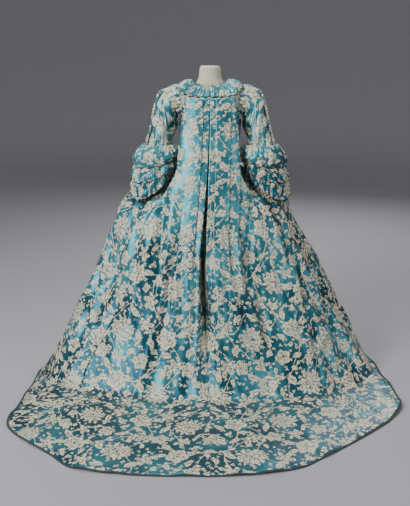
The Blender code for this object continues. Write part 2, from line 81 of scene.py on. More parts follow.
# The woven figure repeats on the loom width. Sizes in metres, angles in degrees.
figure = {
    "repeat": (0.54, 0.60),      # as drawn
    "woven": 0.84,               # how much of its drawn size the figure is woven at
    "ragged": 0.022,             # how far its outlines wander
    "fullness": 0.765,           # share of its reach each motif keeps
    "sprigPitch": 0.036,         # the small sprigs between the flowers: spacing and reach
    "sprigReach": 0.0103,
    "sprigTurn": 12.0,           # radians, times its cell's random value
    # kind, across, along, reach from its centre, turn
    "motifs": (
        ("peony", 0.130, 0.140, 0.104, 10), ("peony", 0.400, 0.445, 0.106, 200),
        ("rose", 0.375, 0.172, 0.076, 40), ("rose", 0.118, 0.458, 0.078, 130),
        ("rose", 0.248, 0.312, 0.058, 80), ("rose", 0.505, 0.302, 0.054, 15),
        ("star", 0.262, 0.050, 0.062, 20), ("star", 0.515, 0.112, 0.064, 70),
        ("star", 0.258, 0.520, 0.062, 100), ("star", 0.385, 0.300, 0.054, 45),
        ("star", 0.055, 0.305, 0.064, 150), ("star", 0.535, 0.545, 0.060, 10),
        ("bud", 0.200, 0.238, 0.022, 30), ("bud", 0.310, 0.248, 0.020, 110),
        ("bud", 0.450, 0.045, 0.024, 60), ("bud", 0.345, 0.060, 0.020, 0),
        ("bud", 0.030, 0.226, 0.022, 80), ("bud", 0.178, 0.375, 0.022, 140),
        ("bud", 0.022, 0.420, 0.020, 20), ("bud", 0.295, 0.400, 0.020, 95),
        ("bud", 0.190, 0.575, 0.022, 45), ("bud", 0.450, 0.320, 0.018, 120),
        ("leaf", 0.228, 0.180, 0.046, 60), ("leaf", 0.022, 0.055, 0.048, 140),
        ("leaf", 0.105, 0.268, 0.042, 110), ("leaf", 0.182, 0.018, 0.044, 20),
        ("leaf", 0.300, 0.122, 0.036, 100), ("leaf", 0.458, 0.158, 0.040, 165),
        ("leaf", 0.450, 0.238, 0.046, 40), ("leaf", 0.305, 0.205, 0.038, 10),
        ("leaf", 0.295, 0.445, 0.044, 70), ("leaf", 0.512, 0.400, 0.046, 120),
        ("leaf", 0.345, 0.568, 0.046, 30), ("leaf", 0.452, 0.578, 0.044, 150),
        ("leaf", 0.205, 0.425, 0.040, 50), ("leaf", 0.030, 0.492, 0.046, 165),
        ("leaf", 0.140, 0.562, 0.044, 95), ("leaf", 0.100, 0.372, 0.038, 15),
        ("leaf", 0.165, 0.305, 0.038, 160), ("leaf", 0.320, 0.350, 0.036, 130),
        ("leaf", 0.400, 0.075, 0.040, 55), ("leaf", 0.065, 0.585, 0.038, 125),
    ),
    "vineWidth": 0.0050,
    # stems that wander along the cloth, then across it: middle, swing, turns, start
    "vinesAlong": ((0.190, 0.070, 1, 20), (0.440, 0.090, 1, 150), (0.050, 0.040, 2, 250)),
    "vinesAcross": ((0.250, 0.060, 1, 60), (0.545, 0.050, 2, 310)),
}


def newGroup(name, inputs):
    tree = bpy.data.node_groups.new(name, "ShaderNodeTree")
    for label, kind in inputs:
        tree.interface.new_socket(label, in_out="INPUT", socket_type=kind)
    tree.interface.new_socket("Shape", in_out="OUTPUT", socket_type="NodeSocketFloat")
    return tree, tree.nodes.new("NodeGroupInput").outputs


def closeGroup(tree, result):
    addNode(tree, "NodeGroupOutput", {}, result)
    return tree


motifInputs = (("Place", "NodeSocketVector"), ("Middle", "NodeSocketVector"),
               ("Turn", "NodeSocketFloat"), ("Grow", "NodeSocketFloat"))


def polar(tree, place):
    # x, y, the distance and the angle of a place
    parts = addNode(tree, *split, place).node.outputs
    distance = addNode(tree, "ShaderNodeVectorMath", {"operation": "LENGTH"}, place, out="Value")
    angle = addNode(tree, "ShaderNodeMath", {"operation": "ARCTAN2"}, parts[1], parts[0])
    return parts[0], parts[1], distance, angle


def motifSpace(tree, ins):
    # moves the pattern's origin to the motif, wraps it on the repeat, turns it and
    # grows it until the motif reaches 1
    half = (figure["repeat"][0] / 2, figure["repeat"][1] / 2, 1)
    near = addNode(tree, *placeMinus, ins["Place"], ins["Middle"])
    near = addNode(tree, "ShaderNodeVectorMath", {"operation": "WRAP"}, near, half,
                   tuple(-h for h in half))
    turned = addNode(tree, *turnFlat, near, (0, 0, 0), None, ins["Turn"])
    return polar(tree, addNode(tree, "ShaderNodeVectorMath", {"operation": "SCALE"},
                               {"Vector": turned, "Scale": ins["Grow"]}))


def lobes(tree, angle, count, phase, low, high):
    # low + (high - low) * |cos(count / 2 * angle + phase)|
    wave = addNode(tree, *timesPlus, angle, count / 2, phase)
    wave = addNode(tree, "ShaderNodeMath", {"operation": "COSINE"}, wave)
    wave = addNode(tree, *absolute, wave)
    return addNode(tree, *timesPlus, wave, high - low, low)


def inside(tree, edge, distance, sharp=22):
    # 1 where the distance is less than the edge, with a soft step
    gap = addNode(tree, *minus, edge, distance)
    return addNode(tree, *timesPlusClamped, gap, sharp, 0.5)


def cutLines(tree, shape, distance, edge, width, depth):
    # takes a thin line out of a shape where the distance meets the edge
    gap = addNode(tree, *minus, edge, distance)
    gap = addNode(tree, *absolute, gap)
    line = inside(tree, width, gap, 30)
    return addNode(tree, *timesPlusClamped, addNode(tree, *times, line, shape), -depth, shape)


# Each flower: the waves that make its rim, then drawn rings of petals inside it, then
# the radius of its dark eye, all as shares of its reach.
# A wave has its count of lobes, phase, low and high; a ring adds its line's width and depth.
flowers = {
    "Peony": (((13, 0.0, 0.52, 0.84), (33, 0.4, 0.0, 0.14)),
              ((13, 0.6, 0.46, 0.74, 0.034, 1.0), (9, 1.1, 0.28, 0.52, 0.036, 1.0),
               (5, 0.3, 0.14, 0.26, 0.030, 0.9)), 0.095),
    "Rose": (((5, 0.0, 0.70, 0.98), (23, 0.2, 0.0, 0.07)),
             ((5, 0.0, 0.42, 0.70, 0.042, 1.0), (4, 0.7, 0.20, 0.38, 0.044, 1.0)), 0.12),
    "Star": (((5, 0.0, 0.20, 1.0), (17, 0.0, 0.0, 0.06)),
             ((5, 0.0, 0.05, 0.66, 0.058, 1.0),), 0.11),
    "Bud": (((2, 0.0, 0.55, 1.0),), (), 0.22),
}


def flowerGroup(name):
    rim, rings, eye = flowers[name]
    tree, ins = newGroup("woven" + name, motifInputs)
    distance, angle = motifSpace(tree, ins)[2:]
    edge = lobes(tree, angle, *rim[0])
    for more in rim[1:]:
        edge = addNode(tree, *plus, edge, lobes(tree, angle, *more))
    shape = inside(tree, edge, distance)
    for count, phase, low, high, width, depth in rings:
        ring = lobes(tree, angle, count, phase, low, high)
        shape = cutLines(tree, shape, distance, ring, width, depth)
    dark = inside(tree, eye, distance)
    shape = addNode(tree, *minusClamped, shape, dark)
    return closeGroup(tree, shape)


def leafGroup():
    # a pointed leaf from x -1 to 1, with saw teeth and a drawn vein
    tree, ins = newGroup("wovenLeaf", motifInputs)
    x, y = motifSpace(tree, ins)[:2]
    square = addNode(tree, *times, x, x)
    width = addNode(tree, *timesPlus, square, -0.44, 0.44)
    teeth = addNode(tree, *timesPlus, x, 9.0, 0.0)
    teeth = addNode(tree, "ShaderNodeMath", {"operation": "FRACT"}, teeth)
    width = addNode(tree, *timesPlus, teeth, 0.13, width)
    side = addNode(tree, *absolute, y)
    shape = inside(tree, width, side)
    vein = inside(tree, 0.045, side, 30)
    short = inside(tree, 0.70, addNode(tree, *absolute, x))
    vein = addNode(tree, *times, vein, short)
    shape = addNode(tree, *minusClamped, shape, vein)
    return closeGroup(tree, shape)


def vine(tree, across, along, middle, swing, turns, start, repeat):
    # 1 near the curve: across = middle + swing * sin(turns * along), wrapped on the repeat
    wave = addNode(tree, *timesPlus, along, 2 * math.pi * turns / repeat[1],
                   math.radians(start))
    wave = addNode(tree, "ShaderNodeMath", {"operation": "SINE"}, wave)
    wave = addNode(tree, *timesPlus, wave, -swing, -middle)
    gap = addNode(tree, *plus, across, wave)
    gap = addNode(tree, "ShaderNodeMath", {"operation": "WRAP"}, gap, repeat[0] / 2,
                  -repeat[0] / 2)
    gap = addNode(tree, *absolute, gap)
    return inside(tree, figure["vineWidth"] / 2, gap, 600)


def sprigGroup():
    # three-leaved sprigs scattered over the ground, one in each cell, each turned its own way
    tree, ins = newGroup("wovenSprigs", (("Place", "NodeSocketVector"),))
    cells = addNode(tree, "ShaderNodeTexVoronoi", {"voronoi_dimensions": "2D"},
                    {"Vector": ins["Place"], "Scale": 1 / figure["sprigPitch"]}).node.outputs
    near = addNode(tree, *placeMinus, ins["Place"], cells["Position"])
    turn = addNode(tree, *times, cells["Color"], figure["sprigTurn"])
    turned = addNode(tree, *turnFlat, near, (0, 0, 0), None, turn)
    grown = addNode(tree, *placeTimes, turned, (1 / figure["sprigReach"],) * 3)
    distance, angle = polar(tree, grown)[2:]
    edge = lobes(tree, angle, 3, 0.0, 0.05, 1.0)
    return closeGroup(tree, inside(tree, edge, distance, 7))


def figureGroup():
    # the whole figure: 1 on ivory flowers and stems, 0 on the ground
    kinds = {name.lower(): flowerGroup(name) for name in flowers}
    kinds["leaf"] = leafGroup()
    tree, ins = newGroup("wovenFigure", (("Place", "NodeSocketVector"),))
    x, y = addNode(tree, *split, ins["Place"]).node.outputs[:2]
    wide, long = figure["repeat"]
    shapes = [vine(tree, x, y, *row, (wide, long)) for row in figure["vinesAlong"]]
    shapes += [vine(tree, y, x, *row, (long, wide)) for row in figure["vinesAcross"]]
    total = 0.0
    for shape in shapes:
        total = addNode(tree, *larger, shape, total)
    for kind, middleX, middleY, reach, turn in figure["motifs"]:
        motif = addNode(tree, "ShaderNodeGroup", {"node_tree": kinds[kind]},
                        {"Place": ins["Place"], "Middle": (middleX, middleY, 0),
                         "Turn": -math.radians(turn),
                         "Grow": 1 / (reach * figure["fullness"])})
        total = addNode(tree, *larger, motif, total)
    return closeGroup(tree, total)


def newMaterial(name, roughness):
    material = bpy.data.materials.new(name)
    material.use_nodes = True
    shader = material.node_tree.nodes["Principled BSDF"]
    shader.inputs["Roughness"].default_value = roughness
    return material, material.node_tree, shader


silkLooks = {
    "ground": "#184F5F",         # the turquoise satin, deep where it isn't lit
    # painted highlight: the pale turquoise that the ground's colour is mixed towards as painted
    # sheen
    "groundPaintedSheen": "#47A0AD",
    "paintedPaleByHeight": 0.38,               # how much paler each metre higher the ground is painted: painted light, stronger higher up
    "ivory": "#EBE2C6",
    "ivoryShade": "#9C8F70",
    "edge": "#10201F",           # the pinked edges' dark trim, with painted shade under and inside them
    "groundRough": 0.38,
    "ivoryRough": 0.55,
    "groundMetal": 0.60,         # silk reflects in its own colour
    "crumple": 0.05,             # size of the small creases, in metres
}


def silkBrocade(name, edged):
    # Lampas silk satin: a shiny turquoise warp with ivory flowers in a duller weft.
    # The ground flashes pale where it turns to the light, and its colour is painted paler in
    # patches and higher up, as painted sheen; the flowers stay soft.
    looks = silkLooks
    material, tree, shader = newMaterial(name, looks["groundRough"])
    uv = addNode(tree, "ShaderNodeUVMap", {"uv_map": "cloth"})
    place = addNode(tree, "ShaderNodeTexCoord", {}, out="Object")
    wander = addNode(tree, *noise, {"Vector": uv, "Scale": 30.0, "Detail": 5.0,
                                    "Roughness": 0.70}, out="Color")
    wander = addNode(tree, *placeMinus, wander, (0.5, 0.5, 0.5))
    drawn = addNode(tree, *placeTimes, uv, (1 / figure["woven"],) * 3)
    drawn = addNode(tree, "ShaderNodeVectorMath", {"operation": "MULTIPLY_ADD"}, wander,
                    (figure["ragged"],) * 3, drawn)
    figured = addNode(tree, "ShaderNodeGroup", {"node_tree": wovenFigure}, drawn)
    sprigs = addNode(tree, "ShaderNodeGroup", {"node_tree": wovenSprigs}, drawn)
    shape = addNode(tree, *larger, figured, sprigs)
    # petals are shaded, and the ground shows through them where the noise is under 0.43
    petals = addNode(tree, *noise, {"Vector": uv, "Scale": 75.0, "Detail": 3.0, "Roughness": 0.6})
    flecks = addNode(tree, *timesPlusClamped, petals, -11.0, 4.75)
    shape = addNode(tree, *minusClamped, shape, flecks)
    # painted sheen: broad noise patches, paler each metre higher where more light falls, mix the
    # deep ground towards its painted highlight colour
    toneAndSheenPatches = addNode(tree, *noise, {"Vector": place, "Scale": 5.0, "Detail": 2.0})
    toneAndSheenPatches = addNode(tree, *timesPlus, toneAndSheenPatches, 2.4, -1.05)
    height = addNode(tree, *split, place, out=2)
    toneAndSheenPatches = addNode(tree, *timesPlusClamped, height, looks["paintedPaleByHeight"], toneAndSheenPatches)
    ground = addNode(tree, *colourMix, {0: toneAndSheenPatches, 6: hexColor(looks["ground"]),
                                        7: hexColor(looks["groundPaintedSheen"])}, out=2)
    shading = addNode(tree, *timesPlusClamped, petals, 3.0, -0.92)
    ivory = addNode(tree, *colourMix, {0: shading, 6: hexColor(looks["ivoryShade"]),
                                       7: hexColor(looks["ivory"])}, out=2)
    colour = addNode(tree, *colourMix, {0: shape, 6: ground, 7: ivory}, out=2)
    # the edges get a dark colour: dark trim with painted shade under them
    if edged:
        near = addNode(tree, "ShaderNodeAttribute", {"attribute_name": "edge"})
        colour = addNode(tree, *colourMix, {0: near, 6: colour, 7: hexColor(looks["edge"])},
                         out=2)
    tree.links.new(colour, shader.inputs["Base Color"])
    rough = addNode(tree, *timesPlus, shape,
                    looks["ivoryRough"] - looks["groundRough"], looks["groundRough"])
    tree.links.new(rough, shader.inputs["Roughness"])
    metal = addNode(tree, *timesPlus, shape, -looks["groundMetal"], looks["groundMetal"])
    tree.links.new(metal, shader.inputs["Metallic"])
    shader.inputs["Specular IOR Level"].default_value = 0.4
    shader.inputs["Sheen Weight"].default_value = 0.15
    shader.inputs["Sheen Roughness"].default_value = 0.4
    # The weft's slubs, about 22 mm long and 1.6 mm wide: coarser than real ones, to show.
    ribs = addNode(tree, "ShaderNodeMapping", {"vector_type": "POINT"}, uv,
                   (0, 0, 0), (0, 0, 0), (1, 14, 1))
    slubs = addNode(tree, *noise, {"Vector": ribs, "Scale": 45.0, "Detail": 3.0})
    crumples = addNode(tree, *noise, {"Vector": uv, "Scale": 1 / looks["crumple"],
                                      "Detail": 3.0, "Roughness": 0.55})
    height = addNode(tree, *timesPlus, crumples, 6.0, slubs)
    bumpFrom(tree, shader, height, 0.5, 0.0012)
    return material


def bumpFrom(tree, shader, height, strength, depth):
    bump = addNode(tree, "ShaderNodeBump", {},
                   {"Strength": strength, "Distance": depth, "Height": height})
    tree.links.new(bump, shader.inputs["Normal"])


def hemTape():
    # Wool tape: matt and nearly black, a dark line round the hem whose yarn varies a little.
    material, tree, shader = newMaterial("wovenHemTape", 0.85)
    uv = addNode(tree, "ShaderNodeUVMap", {"uv_map": "cloth"})
    rib = addNode(tree, *noise, {"Vector": uv, "Scale": 400.0, "Detail": 2.0})
    colour = addNode(tree, *colourMix, {0: rib, 6: hexColor("#16262B"),
                                        7: hexColor("#3A4A4C")}, out=2)
    tree.links.new(colour, shader.inputs["Base Color"])
    return material


def formLinen():
    # Plain linen glued over papier mache: a matt cream with crossing threads.
    material, tree, shader = newMaterial("linenOverForm", 0.82)
    place = addNode(tree, "ShaderNodeTexCoord", {}, out="Object")
    toneAndSheenPatches = addNode(tree, *noise, {"Vector": place, "Scale": 18.0, "Detail": 3.0})
    colour = addNode(tree, *colourMix, {0: toneAndSheenPatches, 6: hexColor("#BDB6A0"),
                                        7: hexColor("#D9D3C0")}, out=2)
    tree.links.new(colour, shader.inputs["Base Color"])
    # Threads are 0.5 mm apart; drawn 1.5 mm apart.
    across = addNode(tree, "ShaderNodeTexWave", {"bands_direction": "X"}, place, 210.0, 0.6)
    along = addNode(tree, "ShaderNodeTexWave", {"bands_direction": "Z"}, place, 210.0, 0.6)
    height = addNode(tree, *plus, across, along)
    bumpFrom(tree, shader, height, 0.25, 0.0006)
    return material


def turnedWood():
    # Stained and varnished beech: dark brown, with grain along the post.
    material, tree, shader = newMaterial("varnishedBeech", 0.38)
    place = addNode(tree, "ShaderNodeTexCoord", {}, out="Object")
    stretched = addNode(tree, "ShaderNodeMapping", {"vector_type": "POINT"}, place,
                        (0, 0, 0), (0, 0, 0), (1, 1, 0.08))
    grain = addNode(tree, *noise, {"Vector": stretched, "Scale": 160.0, "Detail": 4.0})
    colour = addNode(tree, *colourMix, {0: grain, 6: hexColor("#3A2114"),
                                        7: hexColor("#6B4429")}, out=2)
    tree.links.new(colour, shader.inputs["Base Color"])
    shader.inputs["Coat Weight"].default_value = 0.3
    return material


wovenFigure = figureGroup()
wovenSprigs = sprigGroup()
silk = silkBrocade("silkBrocade", False)
silkTrim = silkBrocade("silkBrocadePinked", True)
tape = hemTape()
linen = formLinen()
wood = turnedWood()
print("stage: materials made")


# ---- shapes as grids of points ----

clothWall = 0.0012
sides = {"left": 1, "right": -1}     # which way sideways runs on each side


def runAlong(points):
    # the length run at each point of a line
    return np.concatenate(([0], np.cumsum(np.linalg.norm(np.diff(points, axis=0), axis=1))))


def readLine(at, run, points):
    # the line's coordinates at some places along it
    return np.column_stack([np.interp(at, run, c) for c in points.T])


def easeThrough(keys, values, at):
    # a cubic through the values at the keys that never passes them between two keys
    keys, values = np.asarray(keys, float), np.asarray(values, float)
    at = np.clip(np.asarray(at, float), keys[0], keys[-1])
    shape = (-1,) + (1,) * (values.ndim - 1)
    step = np.diff(keys).reshape(shape)
    rise = np.diff(values, axis=0) / step
    slope = np.zeros_like(values)
    if len(keys) > 2:
        a, b = rise[:-1], rise[1:]
        same = a * b > 0
        slope[1:-1] = np.where(same, 2 * a * b / np.where(same, a + b, 1), 0)
    slope[0], slope[-1] = rise[0], rise[-1]
    i = np.clip(np.searchsorted(keys, at, side="right") - 1, 0, len(keys) - 2)
    h = (keys[i + 1] - keys[i]).reshape(shape)
    t = ((at - keys[i]) / (keys[i + 1] - keys[i])).reshape(shape)
    return (values[i] * (1 + 2 * t) * (1 - t) ** 2 + slope[i] * h * t * (1 - t) ** 2
            + values[i + 1] * t * t * (3 - 2 * t) + slope[i + 1] * h * t * t * (t - 1))


def gridQuads(rows, columns, closed):
    # row and column of each quad of a grid, and the quads' corners
    last = columns if closed else columns - 1
    row, column = np.meshgrid(np.arange(rows - 1), np.arange(last), indexing="ij")
    beside = (column + 1) % columns
    quads = np.stack((row * columns + column, row * columns + beside,
                      (row + 1) * columns + beside, (row + 1) * columns + column), axis=2)
    return row, column, quads


def makeMesh(name, points, quads, material):
    mesh = bpy.data.meshes.new(name)
    mesh.from_pydata(points.reshape(-1, 3).tolist(), [], quads.tolist())
    mesh.polygons.foreach_set("use_smooth", np.ones(len(quads), bool))
    mesh.materials.append(material)
    return mesh


def addObject(name, data):
    thing = bpy.data.objects.new(name, data)
    bpy.context.scene.collection.objects.link(thing)
    return thing


def meshPiece(name, points, uv, material, node, closed=False, keep=None, flip=False,
              edge=None, wall=clothWall, offset=0.0):
    # a grid of points, rows x columns x 3, as quads with a UV map in metres
    row, column, quads = gridQuads(*points.shape[:2], closed)
    keep = np.ones(row.shape, bool) if keep is None else keep
    row, column, quads = row[keep], column[keep], quads[keep]
    # the seam of a closed grid needs the UV of the column after the last one
    uvColumns = uv.shape[1]
    after = np.minimum(column + 1, uvColumns - 1)
    uvQuads = np.column_stack((row * uvColumns + column, row * uvColumns + after,
                               (row + 1) * uvColumns + after,
                               (row + 1) * uvColumns + column))
    if flip:
        quads, uvQuads = quads[:, ::-1], uvQuads[:, ::-1]
    mesh = makeMesh(name, points, quads, material)
    layer = mesh.uv_layers.new(name="cloth")
    layer.data.foreach_set("uv", uv.reshape(-1, 2)[uvQuads.ravel()].ravel())
    if edge is not None:
        mark = mesh.attributes.new("edge", "FLOAT", "POINT")
        mark.data.foreach_set("value", edge.ravel().astype(np.float32))
    piece = addObject(name, mesh)
    if wall:
        thick = piece.modifiers.new("wall", "SOLIDIFY")
        thick.thickness = wall
        thick.offset = offset
        thick.use_even_offset = False
    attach(piece, "root")
    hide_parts(node)
    return piece


def lengths(points, axis):
    # running length along one axis of a grid of points
    step = np.linalg.norm(np.diff(points, axis=axis), axis=2)
    pad = [(0, 0), (0, 0)]
    pad[axis] = (1, 0)
    return np.pad(np.cumsum(step, axis=axis), pad)


def clothUv(points, middle, closed=False, shift=(0, 0), turn=1):
    # across is the cloth's own length from its middle column, along is the length down
    grid = np.concatenate((points, points[:, :1]), axis=1) if closed else points
    across = lengths(grid, 1)
    across = across - across[:, middle:middle + 1]
    down = np.linalg.norm(np.diff(grid, axis=0), axis=2)
    along = np.sqrt(np.maximum(down ** 2 - np.diff(across, axis=0) ** 2, (0.8 * down) ** 2))
    along = np.pad(np.cumsum(along, axis=0), ((1, 0), (0, 0)))
    return np.stack((turn * across + shift[0], -along + shift[1]), axis=2)


def cutSheet(piece):
    # reads the area of each of the piece's faces, and does nothing more with them
    areas = np.empty(len(piece.data.polygons))
    piece.data.polygons.foreach_get("area", areas)


# ---- skirt and sack: sections of the gown from the neck down to the hem ----
# key counts the heights of the fold table: 0 neck, 1 waist, 2 thigh, 3 knee,
# 4 where the cloth meets the floor, 5 the hem

gown = {
    "floorLift": 0.00075,        # the middle of the wall where cloth lies on the floor
    "layerPitch": 0.0031,        # from one pleat layer to the next
    "seamGap": 0.0003,
    "curvePoints": 241,
    "floorSteps": (0.32, 0.66, 1.0),   # rows from the floor line out to the hem
    "rowSteps": ((0.9, 0.0070), (1.3, 0.0165)),   # key, metres from a row to the next
    "sackSections": (
        # key, z, centre, left, right, ySide, yBack, yFront, square, lean
        (0.00, 1.349, 0.000, 0.152, 0.152, 0.020, 0.121, -0.10, 2.6, 8),
        (0.25, 1.275, 0.001, 0.160, 0.160, 0.020, 0.141, -0.10, 2.8, 12),
        (0.60, 1.160, 0.004, 0.170, 0.170, 0.025, 0.167, -0.10, 3.0, 12),
        (1.00, 1.040, 0.008, 0.180, 0.178, 0.030, 0.197, -0.10, 3.0, 14),
        (1.25, 0.965, 0.012, 0.250, 0.245, 0.025, 0.217, -0.15, 2.4, 16),
    ),
    "waistSections": (           # the same columns
        (1.00, 1.034, 0.000, 0.136, 0.136, 0.000, 0.103, -0.105, 2.2, 30),
        (1.12, 0.988, 0.000, 0.250, 0.240, 0.000, 0.110, -0.125, 1.9, 50),
        (1.35, 0.935, 0.000, 0.338, 0.325, 0.000, 0.138, -0.155, 1.8, 35),
    ),
    "skirtSections": (           # the same columns
        (1.60, 0.866, 0.017, 0.415, 0.383, 0.000, 0.240, -0.200, 1.62, 20),
        (2.00, 0.750, 0.026, 0.472, 0.430, 0.010, 0.276, -0.235, 1.9, 16),
        (3.00, 0.550, 0.034, 0.552, 0.535, 0.010, 0.330, -0.275, 2.0, 15),
        (3.30, 0.400, 0.026, 0.610, 0.612, 0.020, 0.372, -0.305, 2.1, 18),
        (3.60, 0.250, 0.013, 0.705, 0.700, 0.050, 0.420, -0.335, 2.1, 24),
        (3.85, 0.100, 0.006, 0.785, 0.765, 0.120, 0.476, -0.362, 2.1, 34),
        (4.00, 0.00075, 0.000, 0.825, 0.825, 0.180, 0.552, -0.385, 2.1, 66),
    ),
    # the hem on the floor from centre back to centre front: sideways, back
    "hemLeft": ((0.0, 1.164), (0.19, 1.161), (0.36, 1.147), (0.52, 1.113), (0.64, 1.006),
                (0.738, 0.929), (0.872, 0.772), (0.884, 0.683), (0.862, 0.558),
                (0.858, 0.30), (0.838, 0.08), (0.71, -0.20), (0.40, -0.375),
                (0.0, -0.418)),
    "hemRight": ((0.0, 1.164), (0.10, 1.160), (0.22, 1.144), (0.35, 1.105),
                 (0.456, 1.028), (0.676, 0.84), (0.795, 0.719), (0.869, 0.588),
                 (0.877, 0.50), (0.857, 0.28), (0.836, 0.06), (0.70, -0.21),
                 (0.39, -0.377), (0.0, -0.418)),
    # share of the floor line's length, share of the hem's that it falls to
    "hemShares": ((0, 0), (0.306, 0.32), (0.44, 0.50), (0.535, 0.63), (0.75, 0.80), (1, 1)),
    # layer, girth at neck, waist, thigh, knee, floor, hem, depth at knee, floor, hem
    "backFolds": (
        (0, 0.0002, 0.0002, 0.0002, 0.0002, 0.0002, 0.0002, -0.035, 0.000, 0.000),
        (0, 0.0500, 0.0500, 0.0350, 0.0060, 0.0200, 0.0300, -0.030, 0.001, 0.001),
        (1, 0.0500, 0.0500, 0.0380, 0.0085, 0.0350, 0.0500, -0.020, 0.003, 0.003),
        (1, 0.0020, 0.0030, 0.0060, 0.0105, 0.0520, 0.0800, -0.004, 0.010, 0.008),
        (2, 0.0020, 0.0030, 0.0065, 0.0140, 0.0600, 0.1000, 0.005, 0.011, 0.009),
        (2, 0.0550, 0.0560, 0.0480, 0.0300, 0.0900, 0.1400, -0.004, 0.003, 0.002),
        (3, 0.0550, 0.0560, 0.0510, 0.0370, 0.1100, 0.1700, -0.004, 0.001, 0.001),
        (3, 0.0290, 0.0340, 0.0400, 0.0480, 0.1300, 0.2000, 0.004, 0.005, 0.005),
        (4, 0.0290, 0.0340, 0.0410, 0.0540, 0.1400, 0.2200, 0.009, 0.008, 0.007),
        (4, 0.0610, 0.0670, 0.0760, 0.0900, 0.1800, 0.2800, 0.012, 0.004, 0.002),
        (4, 0.0930, 0.1000, 0.1120, 0.1250, 0.2300, 0.3400, 0.011, 0.008, 0.006),
        (3, 0.0930, 0.1000, 0.1130, 0.1320, 0.2400, 0.3600, 0.006, 0.006, 0.005),
        (3, 0.0660, 0.0780, 0.1010, 0.1480, 0.2700, 0.4000, -0.007, 0.001, 0.000),
        (2, 0.0660, 0.0780, 0.1040, 0.1580, 0.2900, 0.4300, -0.007, 0.001, 0.000),
        (2, 0.1180, 0.1540, 0.1620, 0.1780, 0.3300, 0.4700, 0.013, 0.012, 0.010),
        (1, 0.1180, 0.1540, 0.1635, 0.1850, 0.3450, 0.4900, 0.008, 0.011, 0.009),
        (1, 0.0700, 0.1050, 0.1480, 0.2050, 0.3900, 0.5500, -0.013, 0.001, 0.001),
        (0, 0.0700, 0.1050, 0.1550, 0.2350, 0.4400, 0.6200, -0.014, 0.000, 0.000),
        (0, 0.0920, 0.1300, 0.2350, 0.2950, 0.5300, 0.7400, 0.005, 0.006, 0.008),
        (0, 0.1120, 0.1500, 0.3050, 0.3600, 0.6400, 0.8800, 0.000, 0.000, 0.000),
    ),
    # where a ridge lies across its panel at the hip and hem, its height at waist, knee, hem
    "ridges": {
        "left": ((0.14, 0.10, 0.004, 0.012, 0.012), (0.34, 0.30, 0.005, 0.010, 0.016),
                 (0.52, 0.52, 0.004, 0.016, 0.020), (0.70, 0.71, 0.005, 0.012, 0.012),
                 (0.88, 0.88, 0.004, 0.010, 0.010)),
        "right": ((0.12, 0.13, 0.005, 0.014, 0.014), (0.31, 0.34, 0.004, 0.018, 0.018),
                  (0.50, 0.55, 0.005, 0.010, 0.012), (0.69, 0.73, 0.004, 0.013, 0.014),
                  (0.87, 0.89, 0.004, 0.010, 0.010)),
        "front": ((0.22, 0.20, 0.004, 0.010, 0.010), (0.50, 0.50, 0.004, 0.011, 0.011),
                  (0.78, 0.80, 0.003, 0.009, 0.009)),
    },
    # the hidden folds behind the centre slit: how much deeper than the table, key by key
    "slitDeeper": (0.000, -0.028, -0.050, -0.070, -0.004, 0.000),
    "slitWider": ((0.1, 0.0), (1.2, 0.001), (2.0, 0.004), (2.9, 0.006), (3.5, 0.005),
                  (3.9, 0.0)),   # key, metres
    # panel: columns for each metre of its girth, where the pattern starts, its node
    "panels": {"back": (270, (0.13, 0.02), "back"),
               "side": (100, (0.40, 0.33), "skirt_side"),
               "front": (75, (0.10, 0.50), "skirt_front")},
    "seamFade": 0.05,            # how far from the centre seams the ripples die out
    "sideFrontShare": 0.63,      # where the side panel meets the front, of the girth
    # where it starts above the hip: it runs on under the sack, so that no slot shows
    "sideTopShare": (0.15, 0.15, 0.19),
    # how far a fold is rounded, in metres, at each of the six heights
    "rounding": (0.0012, 0.0030, 0.0060, 0.0120, 0.0220, 0.0280),
}
sectionNames = ("key", "z", "centre", "left", "right", "ySide", "yBack", "yFront",
                "square", "lean")


def alongCurve(points, shares):
    # the points at shares of a curve's length, and its length
    run = runAlong(points)
    return readLine(np.asarray(shares) * run[-1], run, points), run[-1]


def gownRows(tables, side):
    # the section rows as one dictionary of arrays, ready to be read at any key
    rows = [dict(zip(sectionNames, row)) for name in tables for row in gown[name]]
    turn = np.linspace(0, math.pi, 181)
    even = np.linspace(0, 1, gown["curvePoints"])
    curves, girths = [], []
    for r in rows:
        across = np.sin(turn) ** (2 / r["square"])
        along = np.abs(np.cos(turn)) ** (2 / r["square"])
        reach = np.where(turn < math.pi / 2, r["yBack"], r["yFront"]) - r["ySide"]
        width = r["left"] - r["centre"] if side == "left" else r["right"] + r["centre"]
        points = np.column_stack((across * width, r["ySide"] + reach * along))
        curve, girth = alongCurve(points, even)
        curves.append(curve)
        girths.append(girth)
    outline = np.array(gown["hemLeft" if side == "left" else "hemRight"])
    outline = easeThrough(np.arange(len(outline)), outline,
                          np.linspace(0, len(outline) - 1, 300))
    outer, outerGirth = alongCurve(outline, np.interp(even, *np.array(gown["hemShares"]).T))
    inner, innerGirth = curves[-1], girths[-1]
    for step in gown["floorSteps"]:
        rows.append({"key": 4 + step, "z": gown["floorLift"], "centre": 0.0, "lean": 90})
        curves.append(inner + (outer - inner) * step)
        girths.append(innerGirth + (outerGirth - innerGirth) * step)
    return {"key": np.array([r["key"] for r in rows]), "curve": np.array(curves),
            "girth": np.array(girths),
            "level": np.array([(r["z"], r["centre"], math.radians(r["lean"]))
                               for r in rows])}


def rowKeys(rows):
    # keys of the mesh's rows, spaced down a line a sixth of the way round from the back
    fine = np.linspace(rows["key"][0], rows["key"][-1], 1500)
    y = easeThrough(rows["key"], rows["curve"][:, gown["curvePoints"] // 6, :], fine)
    z = easeThrough(rows["key"], rows["level"][:, 0], fine)
    step = np.linalg.norm(np.diff(np.column_stack((y, z)), axis=0), axis=1)
    pitch = np.interp(fine[1:], *np.array(gown["rowSteps"]).T)
    run = np.concatenate(([0], np.cumsum(step / pitch)))
    return np.interp(np.linspace(0, run[-1], int(run[-1])), run, fine)


